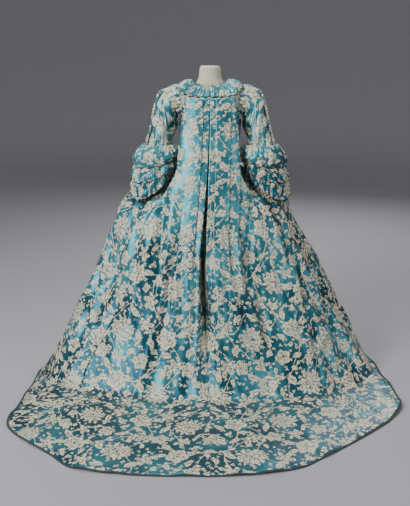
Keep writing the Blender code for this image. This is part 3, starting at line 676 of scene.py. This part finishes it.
def foldPath(stations, perMetre, rounding):
    # stations: rows x stations x 2 (girth, depth); folds are rounded by averaging
    # each path over a few millimetres of its own length, the same count of columns
    spans = np.linalg.norm(np.diff(stations, axis=1), axis=2).max(axis=0)
    counts = np.maximum(2, np.ceil(spans * perMetre).astype(int))
    where = np.concatenate([i + np.arange(n) / n for i, n in enumerate(counts)]
                           + [[len(counts)]])
    index = np.arange(stations.shape[1])
    out = np.empty((len(stations), len(where), 2))
    for r, row in enumerate(stations):
        run = runAlong(row)
        fine = np.linspace(0, run[-1], max(60, int(run[-1] / 0.0006)))
        path = readLine(fine, run, row)
        reach = max(1, int(rounding[r] / (fine[1] - fine[0])))
        ease = np.hanning(2 * reach + 3)[1:-1]
        ease /= ease.sum()
        before = 2 * path[0] - path[reach:0:-1]
        after = 2 * path[-1] - path[-2:-2 - reach:-1]
        soft = np.column_stack([np.convolve(c, ease, "valid")
                                for c in np.vstack((before, path, after)).T])
        at = np.interp(where, index, run)
        out[r] = readLine(at, fine, soft)
    return out


# Creases placed on the hanging cloth, in metres: girth from centre back, height,
# turn from level in degrees, half length, half width, depth
creases = {
    "left": (
        (0.044, 1.303, 4, 0.017, 0.006, 0.0060),
        (0.215, 0.740, 90, 0.190, 0.026, 0.0200),
        (0.105, 0.500, 92, 0.160, 0.018, 0.0080),
        (0.610, 0.520, 97, 0.280, 0.018, 0.0200),
        (0.330, 0.520, 84, 0.200, 0.030, 0.0140),
        (0.415, 0.545, -30, 0.070, 0.011, 0.0140),
        (0.430, 0.510, -32, 0.060, 0.009, 0.0100),
        (0.135, 1.100, 4, 0.030, 0.012, 0.0030),
        (0.138, 1.065, -6, 0.026, 0.010, 0.0030),
        (0.140, 0.985, 3, 0.030, 0.013, 0.0035),
        (0.142, 0.955, -4, 0.028, 0.012, 0.0030),
        (0.065, 1.130, 2, 0.035, 0.010, 0.0016),
        (0.022, 1.075, -10, 0.014, 0.008, 0.0020),
        (0.022, 1.045, -12, 0.014, 0.008, 0.0022),
        (0.075, 0.930, -5, 0.040, 0.014, 0.0018),
        (0.150, 0.900, 8, 0.030, 0.014, 0.0030),
        (0.070, 0.700, 5, 0.050, 0.018, 0.0030),
        (0.250, 0.800, -35, 0.060, 0.014, 0.0050),
        (0.300, 0.640, 70, 0.100, 0.018, 0.0060),
        (0.420, 0.470, -28, 0.080, 0.015, 0.0090),
        (0.520, 0.420, -40, 0.060, 0.012, 0.0060),
        (0.180, 0.480, 78, 0.120, 0.020, 0.0060),
        (0.340, 0.330, 80, 0.120, 0.022, 0.0060),
        (0.120, 0.350, 10, 0.060, 0.020, 0.0030),
        (0.560, 0.250, 65, 0.120, 0.022, 0.0070),
    ),
    "right": (
        (0.022, 1.305, -6, 0.018, 0.006, 0.0060),
        (0.500, 0.420, 96, 0.260, 0.016, 0.0240),
        (0.285, 0.300, 92, 0.200, 0.022, 0.0180),
        (0.225, 0.700, 88, 0.200, 0.022, 0.0150),
        (0.640, 0.350, 98, 0.240, 0.020, 0.0180),
        (0.110, 0.460, 90, 0.160, 0.016, 0.0080),
        (0.400, 0.860, 30, 0.060, 0.010, 0.0080),
        (0.135, 1.120, -3, 0.024, 0.010, 0.0025),
        (0.080, 1.090, 4, 0.034, 0.012, 0.0018),
        (0.085, 1.020, -5, 0.034, 0.012, 0.0016),
        (0.080, 0.930, 6, 0.036, 0.014, 0.0020),
        (0.020, 0.940, 5, 0.014, 0.009, 0.0020),
        (0.145, 0.870, -8, 0.026, 0.012, 0.0030),
        (0.260, 0.780, 20, 0.060, 0.014, 0.0060),
        (0.330, 0.760, 28, 0.050, 0.012, 0.0050),
        (0.300, 0.600, -70, 0.110, 0.018, 0.0060),
        (0.420, 0.560, 74, 0.140, 0.018, 0.0080),
        (0.200, 0.420, 82, 0.140, 0.020, 0.0070),
        (0.470, 0.350, 80, 0.140, 0.020, 0.0090),
        (0.340, 0.330, -80, 0.120, 0.020, 0.0060),
        (0.560, 0.300, 68, 0.110, 0.018, 0.0060),
        (0.090, 0.300, -8, 0.050, 0.018, 0.0030),
        (0.620, 0.200, 60, 0.100, 0.020, 0.0070),
    ),
}


def creaseDepth(side, girth, height):
    # sum of soft troughs, each exp(-(along/length)^2 - (across/width)^2), with a lower
    # ridge beside it
    total = np.zeros_like(girth)
    for g, z, turn, length, width, depth in creases[side]:
        a = math.radians(turn)
        along = (girth - g) * math.cos(a) + (height - z) * math.sin(a)
        across = (height - z) * math.cos(a) - (girth - g) * math.sin(a)
        total -= depth * np.exp(-(along / length) ** 2 - (across / width) ** 2)
        total += 0.45 * depth * np.exp(-(along / length) ** 2
                                       - ((across - 1.9 * width) / width) ** 2)
    return total


def ripple(side, girth, key):
    # uneven waves of the hanging silk: sines of girth that drift with height, a few
    # millimetres fine and a centimetre broad below the thigh, none at the neck
    phase = 0.0 if side == "left" else 1.7
    fine = np.interp(key, (0, 1, 2, 3, 4, 5), (0.0, 0.0004, 0.0016, 0.0030, 0.0020, 0.0024))
    broad = np.interp(key, (1, 1.6, 2.4, 3.4, 4.2, 5), (0.0, 0.003, 0.009, 0.012, 0.007, 0.004))
    waves = (np.sin(girth * 47 + key * 1.3 + phase) + 0.7 * np.sin(girth * 83 - key * 2.9)
             + 0.6 * np.sin(girth * 29 + key * 5.3 + 2 * phase)
             + 0.4 * np.sin(key * 17 + girth * 11))
    swell = (np.sin(girth * 17 - key * 1.1 + 2.2 * phase)
             + 0.6 * np.sin(girth * 9.5 + key * 2.1 + phase)) * np.clip(girth / 0.25, 0, 1)
    toBack = np.clip(girth / gown["seamFade"], 0, 1)
    return waves * fine * 0.30 * toBack + swell * broad * 0.9


def placeCloth(rows, side, keys, path):
    # (girth, depth) at each row becomes a point: out along the section's normal
    curve = easeThrough(rows["key"], rows["curve"], keys)
    girth = easeThrough(rows["key"], rows["girth"], keys)
    z, centre, lean = easeThrough(rows["key"], rows["level"], keys).T
    slope = np.gradient(curve, axis=1)
    slope /= np.linalg.norm(slope, axis=2)[:, :, None]
    count = curve.shape[1] - 1
    at = np.clip(path[:, :, 0] / girth[:, None] * count, 0, count - 1e-6)
    low = at.astype(int)
    part = (at - low)[:, :, None]
    r = np.arange(len(keys))[:, None]
    base = curve[r, low] * (1 - part) + curve[r, low + 1] * part
    tangent = slope[r, low] * (1 - part) + slope[r, low + 1] * part
    out = np.stack((-tangent[..., 1], tangent[..., 0]), axis=2)
    height = np.broadcast_to(z[:, None], path.shape[:2])
    # no ripple or crease reaches the centre front, where the two sides meet
    toFront = np.clip((girth[:, None] - path[:, :, 0]) / gown["seamFade"], 0, 1)
    depth = path[:, :, 1] + toFront * (creaseDepth(side, path[:, :, 0], height)
                                       + ripple(side, path[:, :, 0], keys[:, None]))
    level = (np.cos(lean)[:, None] * depth)[..., None]
    plan = base + out * level
    x = centre[:, None] + sides[side] * plan[..., 0]
    up = np.maximum(z[:, None] + np.sin(lean)[:, None] * depth, gown["floorLift"])
    return np.stack((x, plan[..., 1], up), axis=2)


def backStations(keys):
    # rows x folds x 2, the pleats' edges at each key: stitched flat, layer on layer, at
    # the neck and waist, and opening to the table's depths from the knee down
    table = np.array(gown["backFolds"])
    stitched = (table[:, 0] + 0.7) * gown["layerPitch"]
    girths = easeThrough(np.arange(6), table[:, 1:7].T, keys)
    girths[:, 3:5] += np.interp(keys, *np.array(gown["slitWider"]).T)[:, None]
    knee = table[:, 7]
    depths = np.array((stitched, 1.1 * stitched, 0.5 * stitched + 0.5 * knee,
                       knee, table[:, 8], table[:, 9]))
    depths[:, 0] += gown["slitDeeper"]
    # the next two folds follow the slit part of the way at the knee
    depths[3, 1:3] += 0.6 * gown["slitDeeper"][3]
    return np.stack((girths, easeThrough(np.arange(6), depths, keys)), axis=2)


def ridgeStations(keys, start, end, ridges):
    # rows x stations x 2: up on each ridge, down between two of them
    r = np.array(ridges)
    hang = ((keys - 1) / 4)[:, None]
    share = r[:, 0] + (r[:, 1] - r[:, 0]) * hang
    high = easeThrough((1, 3, 5), r[:, 2:5].T, keys)
    dip = (share[:, 1:] + share[:, :-1]) / 2
    offFloor = np.interp(keys, (3.6, 3.9), (1, 0))[:, None]
    low = -0.4 * np.minimum(high[:, 1:], high[:, :-1]) * offFloor
    none = np.zeros((len(keys), 1))
    shares = np.concatenate((none, share, dip, none + 1), axis=1)
    depths = np.concatenate((none, high, low, none), axis=1)
    order = np.argsort(shares[0])
    girths = start[:, None] + (end - start)[:, None] * shares[:, order]
    return np.stack((girths, depths[:, order]), axis=2)


def skirtPiece(panel, side, rows, keys, stations):
    perMetre, shift, node = gown["panels"][panel]
    rounding = np.interp(keys, range(6), gown["rounding"])
    points = placeCloth(rows, side, keys, foldPath(stations, perMetre, rounding))
    uv = clothUv(points, points.shape[1] // 2, shift=(sides[side] * shift[0], shift[1]),
                 turn=sides[side])
    piece = meshPiece(f"silk{panel.title()}{side.title()}", points, uv, silk,
                      f"{node}_{side}", flip=side == "left")
    cutSheet(piece)
    return points


def skirt(side):
    sackRows = gownRows(("sackSections", "skirtSections"), side)
    keys = rowKeys(sackRows)
    hems = [skirtPiece("back", side, sackRows, keys, backStations(keys))]
    rows = gownRows(("waistSections", "skirtSections"), side)
    keys = rowKeys(rows)
    girth = easeThrough(rows["key"], rows["girth"], keys)
    backEdge = np.array(gown["backFolds"])[-1, 1:7]
    seam = easeThrough(np.arange(6), backEdge, keys)
    hipKey = gown["skirtSections"][0][0]     # where the side skirt joins the back
    topKeys = [row[0] for row in gown["waistSections"]] + [hipKey]
    topSeam = [share * g for share, g in zip(gown["sideTopShare"], rows["girth"])]
    topSeam.append(float(easeThrough(np.arange(6), backEdge, [hipKey])[0]))
    start = np.where(keys < hipKey, easeThrough(topKeys, topSeam, keys), seam)
    start = start + gown["seamGap"]
    middle = gown["sideFrontShare"] * girth
    sidePath = ridgeStations(keys, start, middle, gown["ridges"][side])
    frontPath = ridgeStations(keys, middle + gown["seamGap"], girth - gown["seamGap"] / 2,
                              gown["ridges"]["front"])
    hems.append(skirtPiece("side", side, rows, keys, sidePath))
    hems.append(skirtPiece("front", side, rows, keys, frontPath))
    return np.vstack([points[-1] for points in hems])


# how far each line of the tape lies beyond the silk's edge and above its middle
hemLooks = {
    "flat": 0.0100,              # the tape's width
    "pitch": 0.006,
    "lowest": 0.0006,
    "wall": 0.0010,
    "beyond": (-0.0030, -0.0010, 0.0012, 0.0031, 0.0068),
    "above": (0.0015, 0.0017, 0.0013, 0.0005, 0.0002),
}


def hemPiece(side, hem):
    # a tape that laps over the silk's edge: the hem's points moved out along its normal
    run = runAlong(hem)
    at = np.arange(0, run[-1], hemLooks["pitch"])
    line = readLine(at, run, hem)
    tangent = np.gradient(line, axis=0)
    tangent /= np.linalg.norm(tangent[:, :2], axis=1)[:, None]
    out = sides[side] * np.column_stack((-tangent[:, 1], tangent[:, 0], np.zeros(len(line))))
    beyond = np.array(hemLooks["beyond"])[:, None, None]
    above = np.array(hemLooks["above"])[:, None, None] * np.array((0, 0, 1.0))
    grid = line[None] + out[None] * beyond + above
    grid[..., 2] = np.maximum(grid[..., 2], hemLooks["lowest"])
    uv = np.stack(np.broadcast_arrays(at[None], beyond[..., 0]), axis=2)
    piece = meshPiece("hemTape" + side.title(), grid, uv, tape, "hem_tape_" + side,
                      flip=side == "left", wall=hemLooks["wall"])


for side in sides:
    hemPiece(side, skirt(side))
print("stage: skirt, sack and train made")


# ---- bodice and neckline ----

bodice = {
    # z, half width, back, front
    "rings": ((1.038, 0.130, 0.097, -0.099), (1.105, 0.136, 0.102, -0.110),
              (1.168, 0.149, 0.108, -0.122)),
    # angle from centre back, inner edge x y z, outer edge x y z
    "neckline": ((0, 0.000, 0.067, 1.406, 0.000, 0.120, 1.354),
                 (35, 0.056, 0.059, 1.413, 0.098, 0.107, 1.358),
                 (62, 0.081, 0.035, 1.428, 0.146, 0.063, 1.386),
                 (90, 0.088, 0.000, 1.434, 0.164, 0.004, 1.402),
                 (118, 0.086, -0.040, 1.420, 0.150, -0.056, 1.375),
                 (146, 0.076, -0.088, 1.350, 0.116, -0.108, 1.290),
                 (180, 0.000, -0.124, 1.262, 0.000, -0.141, 1.208)),
    "squareness": 0.9,
    "rows": 61, "columns": 60,
    "armholeRows": (30, 50), "armholeAngles": (64.0, 116.0),
    "underRuche": 0.0045,        # how far the silk lies under the ruche's loops
}


def neckLoops(angles):
    # the neckline's two edges and the way out of it, at some angles
    wide = np.arange(-240, 241, 2.0)
    wrapped = (wide + 180) % 360 - 180
    table = np.array(bodice["neckline"], float)
    mirrored = np.vstack((table[::-1][:-1] * (-1, -1, 1, 1, -1, 1, 1), table))
    read = easeThrough(mirrored[:, 0], mirrored[:, 1:], wrapped)
    inner, outer = read[:, :3], read[:, 3:]
    out = np.cross(np.gradient((inner + outer) / 2, axis=0), outer - inner)
    out /= np.linalg.norm(out, axis=1)[:, None]
    return [readLine(angles, wide, p) for p in (inner, outer, out)]


def bodiceGrid(angles):
    # from the waist up through the rings to the neckline, then in under the ruche
    turn = np.radians(angles)
    rows = []
    for z, width, back, front in bodice["rings"]:
        x = width * np.sin(turn) ** bodice["squareness"]
        y = (np.where(turn < math.pi / 2, back, front)
             * np.abs(np.cos(turn)) ** bodice["squareness"])
        rows.append(np.column_stack((x, y, np.full(len(x), z))))
    inner, outer, out = neckLoops(angles)
    low = outer - out * bodice["underRuche"]
    rows += [rows[2] * (1 - step) + low * step for step in (0.34, 0.67)]
    rows += [low, inner - out * bodice["underRuche"]]
    return easeThrough(np.arange(7), np.array(rows), np.linspace(0, 6, bodice["rows"]))


def bodicePiece(part, side, first, last):
    angles = np.linspace(first, last, bodice["columns"])
    points = bodiceGrid(angles) * (sides[side], 1, 1)
    level = np.arange(bodice["rows"] - 1)[:, None]
    across = ((angles[1:] + angles[:-1]) / 2)[None]
    low, high = bodice["armholeRows"]
    nearBack, nearFront = bodice["armholeAngles"]
    hole = (level >= low) & (level < high) & (across > nearBack) & (across < nearFront)
    uv = clothUv(points, bodice["columns"] // 2, shift=(0.3, 0.2))
    piece = meshPiece("bodice" + part.title() + side.title(), points, uv, silk,
                      f"bodice_{part}_{side}", keep=~hole, flip=side == "left",
                      offset=1.0)
    cutSheet(piece)


for side in sides:
    bodicePiece("back", side, 0.12, 89.9)
    bodicePiece("front", side, 90.1, 179.88)

ruche = {
    "puff": 0.006,
    "gathers": 62,
    "gatherHeight": 0.0032,
    "stitchLines": (0.13, 0.87), # shares of the band's width
    "stitchWidth": 0.05,
    "edgeWidth": 0.045,          # share of the band that is pinked and coloured dark: dark trim with painted shade
    "columns": 820, "rows": 20,
}


def neckRuche():
    # a band between the neckline's loops: puffed as sin(pi w), gathered by uneven
    # cosines that are tight at its two stitched lines, with a small free frill outside them
    angles = np.linspace(-179.9, 179.9, ruche["columns"])
    inner, outer, out = neckLoops(angles)
    share = np.linspace(0, 1, ruche["rows"])
    run = runAlong(outer)
    u = run / run[-1]
    wobble = u + 0.0030 * np.sin(u * 71) + 0.0022 * np.sin(u * 133 + 1)
    turns = wobble * ruche["gathers"] * 2 * math.pi
    wave = np.cos(turns) + 0.45 * np.cos(turns * 1.73 + 2 * np.sin(u * 19))
    lean = 0.5 * np.sin(u * 37)
    w = share[:, None]
    slant = np.cos(turns[None] + 1.6 * (w - 0.5) * (1 + lean[None]))
    body = np.sin(math.pi * w) ** 0.6
    stitched = sum(np.exp(-((w - line) / ruche["stitchWidth"]) ** 2)
                   for line in ruche["stitchLines"])
    height = (ruche["puff"] * body * (1 - 0.75 * stitched)
              + ruche["gatherHeight"] * (0.55 * wave[None] + 0.65 * slant)
              * (0.45 + 0.55 * body) * (1 - 0.5 * stitched) + 0.002)
    spread = 0.05 * np.sin(turns * 0.5 + 1)[None] * (2 * w - 1) ** 3
    across = (outer[None] * (1 - (w + spread)[..., None])
              + inner[None] * (w + spread)[..., None])
    points = across + out[None] * height[..., None]
    uv = clothUv(points, ruche["columns"] // 2, shift=(0.2, 0.1))
    # the band's two edges are coloured dark: dark trim with painted shade
    edge = np.clip(1.6 - np.minimum(w, 1 - w) / ruche["edgeWidth"], 0, 1)
    edge = np.broadcast_to(edge, height.shape)
    piece = meshPiece("neckRuche", points, uv, silkTrim, "neck_ruche",
                      flip=True, edge=edge)
    cutSheet(piece)


neckRuche()
print("stage: bodice made")


# ---- sleeves, their ruched strips and the flounces ----

sleeve = {
    # centre x y z, tilt, half size across and fore, bow towards the body
    "rings": ((0.163, 0.000, 1.328, 95, 0.077, 0.066, 0.034),
              (0.197, 0.002, 1.326, 56, 0.070, 0.066, 0.010),
              (0.216, 0.012, 1.287, 27, 0.059, 0.064, 0.004),
              (0.225, 0.028, 1.225, 12, 0.060, 0.062, 0.000),
              (0.246, 0.054, 1.145, 13, 0.059, 0.060, 0.000),
              (0.258, 0.066, 1.092, 13, 0.058, 0.059, 0.000)),
    "columns": 120, "rows": 90,
    "seam": 235,                 # degrees round the arm, where the seam is
    "stripAngles": (54, 82), "stripLevels": (0.9, 4.55),
    "stripRows": 240, "stripColumns": 15,
    "stripLift": 0.0030,
    "stripEdge": 0.07,           # share of the strip that is pinked and coloured dark: dark trim with painted shade
}


def sleeveSurface(level, degrees, lift):
    # level is rows x 1 down the sleeve, degrees round it; lift moves points outwards
    rings = easeThrough(np.arange(6), np.array(sleeve["rings"]), level.ravel())
    x, y, z, tilt, across, fore, bow = (rings[:, i][:, None] for i in range(7))
    turn = np.radians(degrees)
    tilt = np.radians(tilt)
    side = (across + lift) * np.sin(turn)
    return np.stack((x + side * np.cos(tilt) - bow * np.cos(turn) ** 2,
                     y + (fore + lift) * np.cos(turn) + 0 * side,
                     z + side * np.sin(tilt)), axis=2)


def sleevePiece(side, mirror):
    # gathers at the head and the elbow, and uneven swells and drag lines round the arm
    level = np.linspace(0, 5, sleeve["rows"])[:, None]
    degrees = sleeve["seam"] + np.arange(sleeve["columns"])[None] * 360 / sleeve["columns"]
    turn = np.radians(degrees)
    phase = 0.0 if side == "left" else 1.1
    head = np.exp(-((level - 0.3) / 0.8) ** 2)
    elbow = np.exp(-((level - 4.6) / 0.6) ** 2)
    lift = (0.0034 * head * np.cos(22 * turn + 2 * level + np.sin(5 * turn))
            + 0.0042 * elbow * np.cos(17 * turn + 2 * np.sin(3 * turn) + phase)
            + 0.0036 * np.sin(3 * turn + 2.1 * level + phase) * np.sin(level * 0.6)
            + 0.0026 * np.sin(5 * turn - 3.3 * level + phase)
            + 0.0020 * np.sin(8 * turn + 6.1 * level + 2 * np.sin(2 * turn))
            + 0.0030 * np.cos(2 * turn + 5.5 * level) * np.exp(-((level - 3.2) / 1.4) ** 2))
    points = sleeveSurface(level, degrees, lift) * mirror
    uv = clothUv(points, sleeve["columns"] // 2, closed=True, shift=(0.1, 0.45))
    piece = meshPiece("sleeve" + side.title(), points, uv, silk, "sleeve_" + side,
                      closed=True, flip=side == "right", offset=1.0)
    cutSheet(piece)


def stripPiece(side, mirror):
    # a ruched band down the outer arm, gathered across its length
    level = np.linspace(*sleeve["stripLevels"], sleeve["stripRows"])[:, None]
    share = np.linspace(0, 1, sleeve["stripColumns"])[None]
    degrees = sleeve["stripAngles"][0] + share * (sleeve["stripAngles"][1]
                                                  - sleeve["stripAngles"][0])
    body = np.sin(math.pi * share) ** 0.6
    lift = (sleeve["stripLift"] + 0.003 * body
            + 0.0024 * np.cos(level * 44 + 2 * np.sin(level * 7) + 1.5 * share)
            * (0.5 + 0.5 * body))
    points = sleeveSurface(level, degrees, lift) * mirror
    uv = clothUv(points, sleeve["stripColumns"] // 2, shift=(0.3, 0.3))
    # the strip's two edges are coloured dark: dark trim with painted shade
    edge = np.clip(1.5 - np.minimum(share, 1 - share) / sleeve["stripEdge"], 0, 1) + 0 * level
    piece = meshPiece("sleeveStrip" + side.title(), points, uv, silkTrim,
                      "sleeve_strip_" + side, flip=side == "right", edge=edge,
                      offset=1.0)
    cutSheet(piece)


flounces = {
    "centre": (0.249, 0.058, 1.128),
    "drift": (0.16, 0.02),       # sideways and backwards for each metre down
    # how deep at the inner arm and at the elbow, how far it stands off
    "tiers": {"upper": (0.058, 0.105, 0.016), "middle": (0.066, 0.178, 0.008),
              "lower": (0.074, 0.264, 0.000)},
    "radius": 0.0655, "flare": 0.037, "reach": 0.07, "point": 40.0,
    "waves": 12, "waveHeight": 0.007, "crumple": 0.0027,
    "scallops": 14, "scallop": 0.006,
    "pinked": 0.0035,            # depth of the dark edge: dark trim with painted shade under it
    "wall": 0.0008,
    "columns": 336, "rows": 27,
}


def flouncePiece(side, mirror, name):
    # radius grows with the depth, waves nest in the three tiers, the free edge is scalloped
    f = flounces
    short, deep, standOff = f["tiers"][name]
    turn = (math.radians(sleeve["seam"])
            + np.arange(f["columns"])[None] * 2 * math.pi / f["columns"])
    share = np.linspace(0, 1, f["rows"])[:, None]
    toward = (1 + np.cos(turn - math.radians(f["point"]))) / 2
    depth = short + (deep - short) * toward ** 1.2
    depth = depth + f["scallop"] * (np.abs(np.sin(f["scallops"] * turn / 2)) - 0.6)
    down = depth * share
    phase = 0.4 if side == "left" else 2.0
    wave = (0.65 * np.cos(f["waves"] * turn + phase + 0.8 * np.sin(2 * turn))
            + 0.35 * np.cos(7 * turn - phase))
    fine = (np.cos(38 * turn + 3 * np.sin(3 * turn)) * np.exp(-(down / 0.035) ** 2)
            + 0.9 * np.sin(21 * turn + 60 * down + 2 * np.sin(5 * turn) + phase)
            + 0.9 * np.sin(9 * turn - 95 * down + 2 * np.sin(4 * turn) + phase)
            + 0.5 * np.sin(5 * turn + 130 * down + 3 * np.sin(2 * turn)))
    radius = (f["radius"] + standOff + f["flare"] * (1 - np.exp(-down / f["reach"]))
              + (0.5 + 0.5 * wave) * f["waveHeight"] * np.minimum(down / 0.07, 1.6)
              + f["crumple"] * fine)
    if name == "upper":
        radius = radius + 0.011 * np.sin(math.pi * share) ** 1.2 - 0.006 * share ** 3
    x = f["centre"][0] + f["drift"][0] * down + radius * np.sin(turn)
    y = f["centre"][1] + f["drift"][1] * down + radius * np.cos(turn)
    points = np.stack((x, y, f["centre"][2] - down), axis=2) * mirror
    uv = clothUv(points, f["columns"] // 2, closed=True, shift=(0.15 * len(name), 0.1))
    # the free edge is coloured dark: dark trim with painted shade under the edge
    edge = np.clip(1.7 - (1 - share) * depth / f["pinked"], 0, 1)
    piece = meshPiece(f"flounce{name.title()}{side.title()}", points, uv, silkTrim,
                      f"flounce_{name}_{side}", closed=True,
                      flip=side == "right", edge=edge, offset=1.0, wall=f["wall"])
    cutSheet(piece)


for side in sides:
    mirror = np.array((sides[side], 1, 1))
    sleevePiece(side, mirror)
    stripPiece(side, mirror)
    for name in flounces["tiers"]:
        flouncePiece(side, mirror, name)
print("stage: sleeves and flounces made")


# ---- dress form ----

form = {
    # height, half width, half depth, middle's place from back to front
    "rings": ((0.800, 0.135, 0.095, 0.000), (0.815, 0.150, 0.108, 0.000),
              (0.900, 0.158, 0.112, 0.002), (0.970, 0.134, 0.094, 0.000),
              (1.030, 0.116, 0.082, 0.000), (1.100, 0.122, 0.090, -0.003),
              (1.180, 0.136, 0.101, -0.006), (1.250, 0.144, 0.104, -0.006),
              (1.320, 0.146, 0.092, -0.002), (1.362, 0.136, 0.074, 0.002),
              (1.386, 0.112, 0.059, 0.004), (1.404, 0.084, 0.051, 0.002),
              (1.424, 0.065, 0.049, 0.002), (1.447, 0.054, 0.048, 0.002),
              (1.484, 0.0505, 0.048, 0.002), (1.4985, 0.044, 0.042, 0.002)),
    "columns": 84, "rows": 110,
}


def dressForm():
    # ellipses eased through the rings, closed by a flat foot and a low dome on the neck
    table = np.array(form["rings"])
    run = runAlong(table[:, :2])
    z, width, depth, y = easeThrough(run, table, np.linspace(0, run[-1], form["rows"])).T
    cap = np.linspace(0, 1, 9)[1:]
    z = np.concatenate((np.full(4, z[0]), z, z[-1] + 0.0015 * np.sin(cap * math.pi / 2)))
    foot = np.array((0.001, 0.35, 0.7, 0.97))
    width = np.concatenate((width[0] * foot, width, width[-1] * np.maximum(1 - cap, 0.001)))
    depth = np.concatenate((depth[0] * foot, depth, depth[-1] * np.maximum(1 - cap, 0.001)))
    y = np.concatenate((np.full(4, y[0]), y, np.full(8, y[-1])))
    turn = np.arange(form["columns"]) * 2 * math.pi / form["columns"]
    points = np.stack((width[:, None] * np.cos(turn), y[:, None] + depth[:, None] * np.sin(turn),
                       z[:, None] + 0 * turn), axis=2)
    uv = clothUv(points, 0, closed=True)
    meshPiece("linenForm", points, uv, linen, "form_torso", closed=True, wall=0)


dressForm()
for name in ("stand_pole", "stand_base"):
    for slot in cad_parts[name].material_slots:
        slot.material = wood
print("stage: dress form made")


# ---- studio ----

studio = {
    "floor": "#A3A2A6",
    "world": "#C9CCD2", "worldStrength": 0.46,
    # the floor's profile: metres out, metres up
    "profile": ((0.001, 0), (2, 0), (4, 0), (6, 0), (7, 0.07), (7.6, 0.35), (7.95, 0.9),
                (8, 1.6), (8, 4), (8, 7)),
    "drop": 0.0002,              # the floor lies this far below zero, clear of the cloth
    "cameraHeight": 1.5, "cameraAway": 3.5, "cameraDown": 15.0,
    "cameraShift": -0.00988,     # of the longer side: the gown is a little right of centre
    "lens": 49.8,                # 36 mm sensor on the picture's longer side
    # name, place, size, watts, aim
    "lights": (("keyLight", (2.7, 2.9, 2.7), 1.9, 185, (0, 0.3, 0.7)),
               ("fillLight", (-3.4, 2.6, 1.9), 2.0, 46, (0, 0.3, 0.6)),
               ("frontLight", (-1.2, -3.4, 2.8), 2.0, 70, (0, 0, 0.8)),
               ("topLight", (0.3, 0.1, 3.6), 1.6, 46, (0, 0.3, 0.5))),
}


def pointAt(thing, place, aim):
    thing.location = place
    thing.rotation_euler = (Vector(aim) - Vector(place)).to_track_quat("-Z", "Y").to_euler()


def makeStudio():
    # a wide floor that curves up into a backdrop far behind on all sides
    turn = np.linspace(0, 2 * math.pi, 97)[:-1]
    radius, height = np.array(studio["profile"]).T
    height = height - studio["drop"]
    points = np.stack((radius[:, None] * np.cos(turn), radius[:, None] * np.sin(turn),
                       height[:, None] + 0 * turn), axis=2)
    material, shader = newMaterial("paintedStudio", 0.8)[::2]
    shader.inputs["Base Color"].default_value = hexColor(studio["floor"])
    shader.inputs["Specular IOR Level"].default_value = 0.2
    quads = gridQuads(*points.shape[:2], True)[2].reshape(-1, 4)[:, ::-1]
    floor = addObject("studioFloor", makeMesh("studioFloor", points, quads, material))
    for name, place, size, watts, aim in studio["lights"]:
        data = bpy.data.lights.new(name, "AREA")
        data.size = size
        data.energy = watts
        light = addObject(name, data)
        light.visible_camera = False
        pointAt(light, place, aim)
    world = bpy.data.worlds.new("studioWorld")
    world.use_nodes = True
    background = world.node_tree.nodes["Background"]
    background.inputs[0].default_value = hexColor(studio["world"])
    background.inputs[1].default_value = studio["worldStrength"]
    bpy.context.scene.world = world
    data = bpy.data.cameras.new("camera")
    data.lens = studio["lens"]
    data.sensor_width = 36.0
    data.shift_x = studio["cameraShift"]
    camera = addObject("camera", data)
    camera.location = (0, studio["cameraAway"], studio["cameraHeight"])
    camera.rotation_euler = (math.radians(90 - studio["cameraDown"]), 0, math.pi)
    bpy.context.scene.camera = camera


makeStudio()
print("stage: studio made")

bpy.context.view_layer.update()
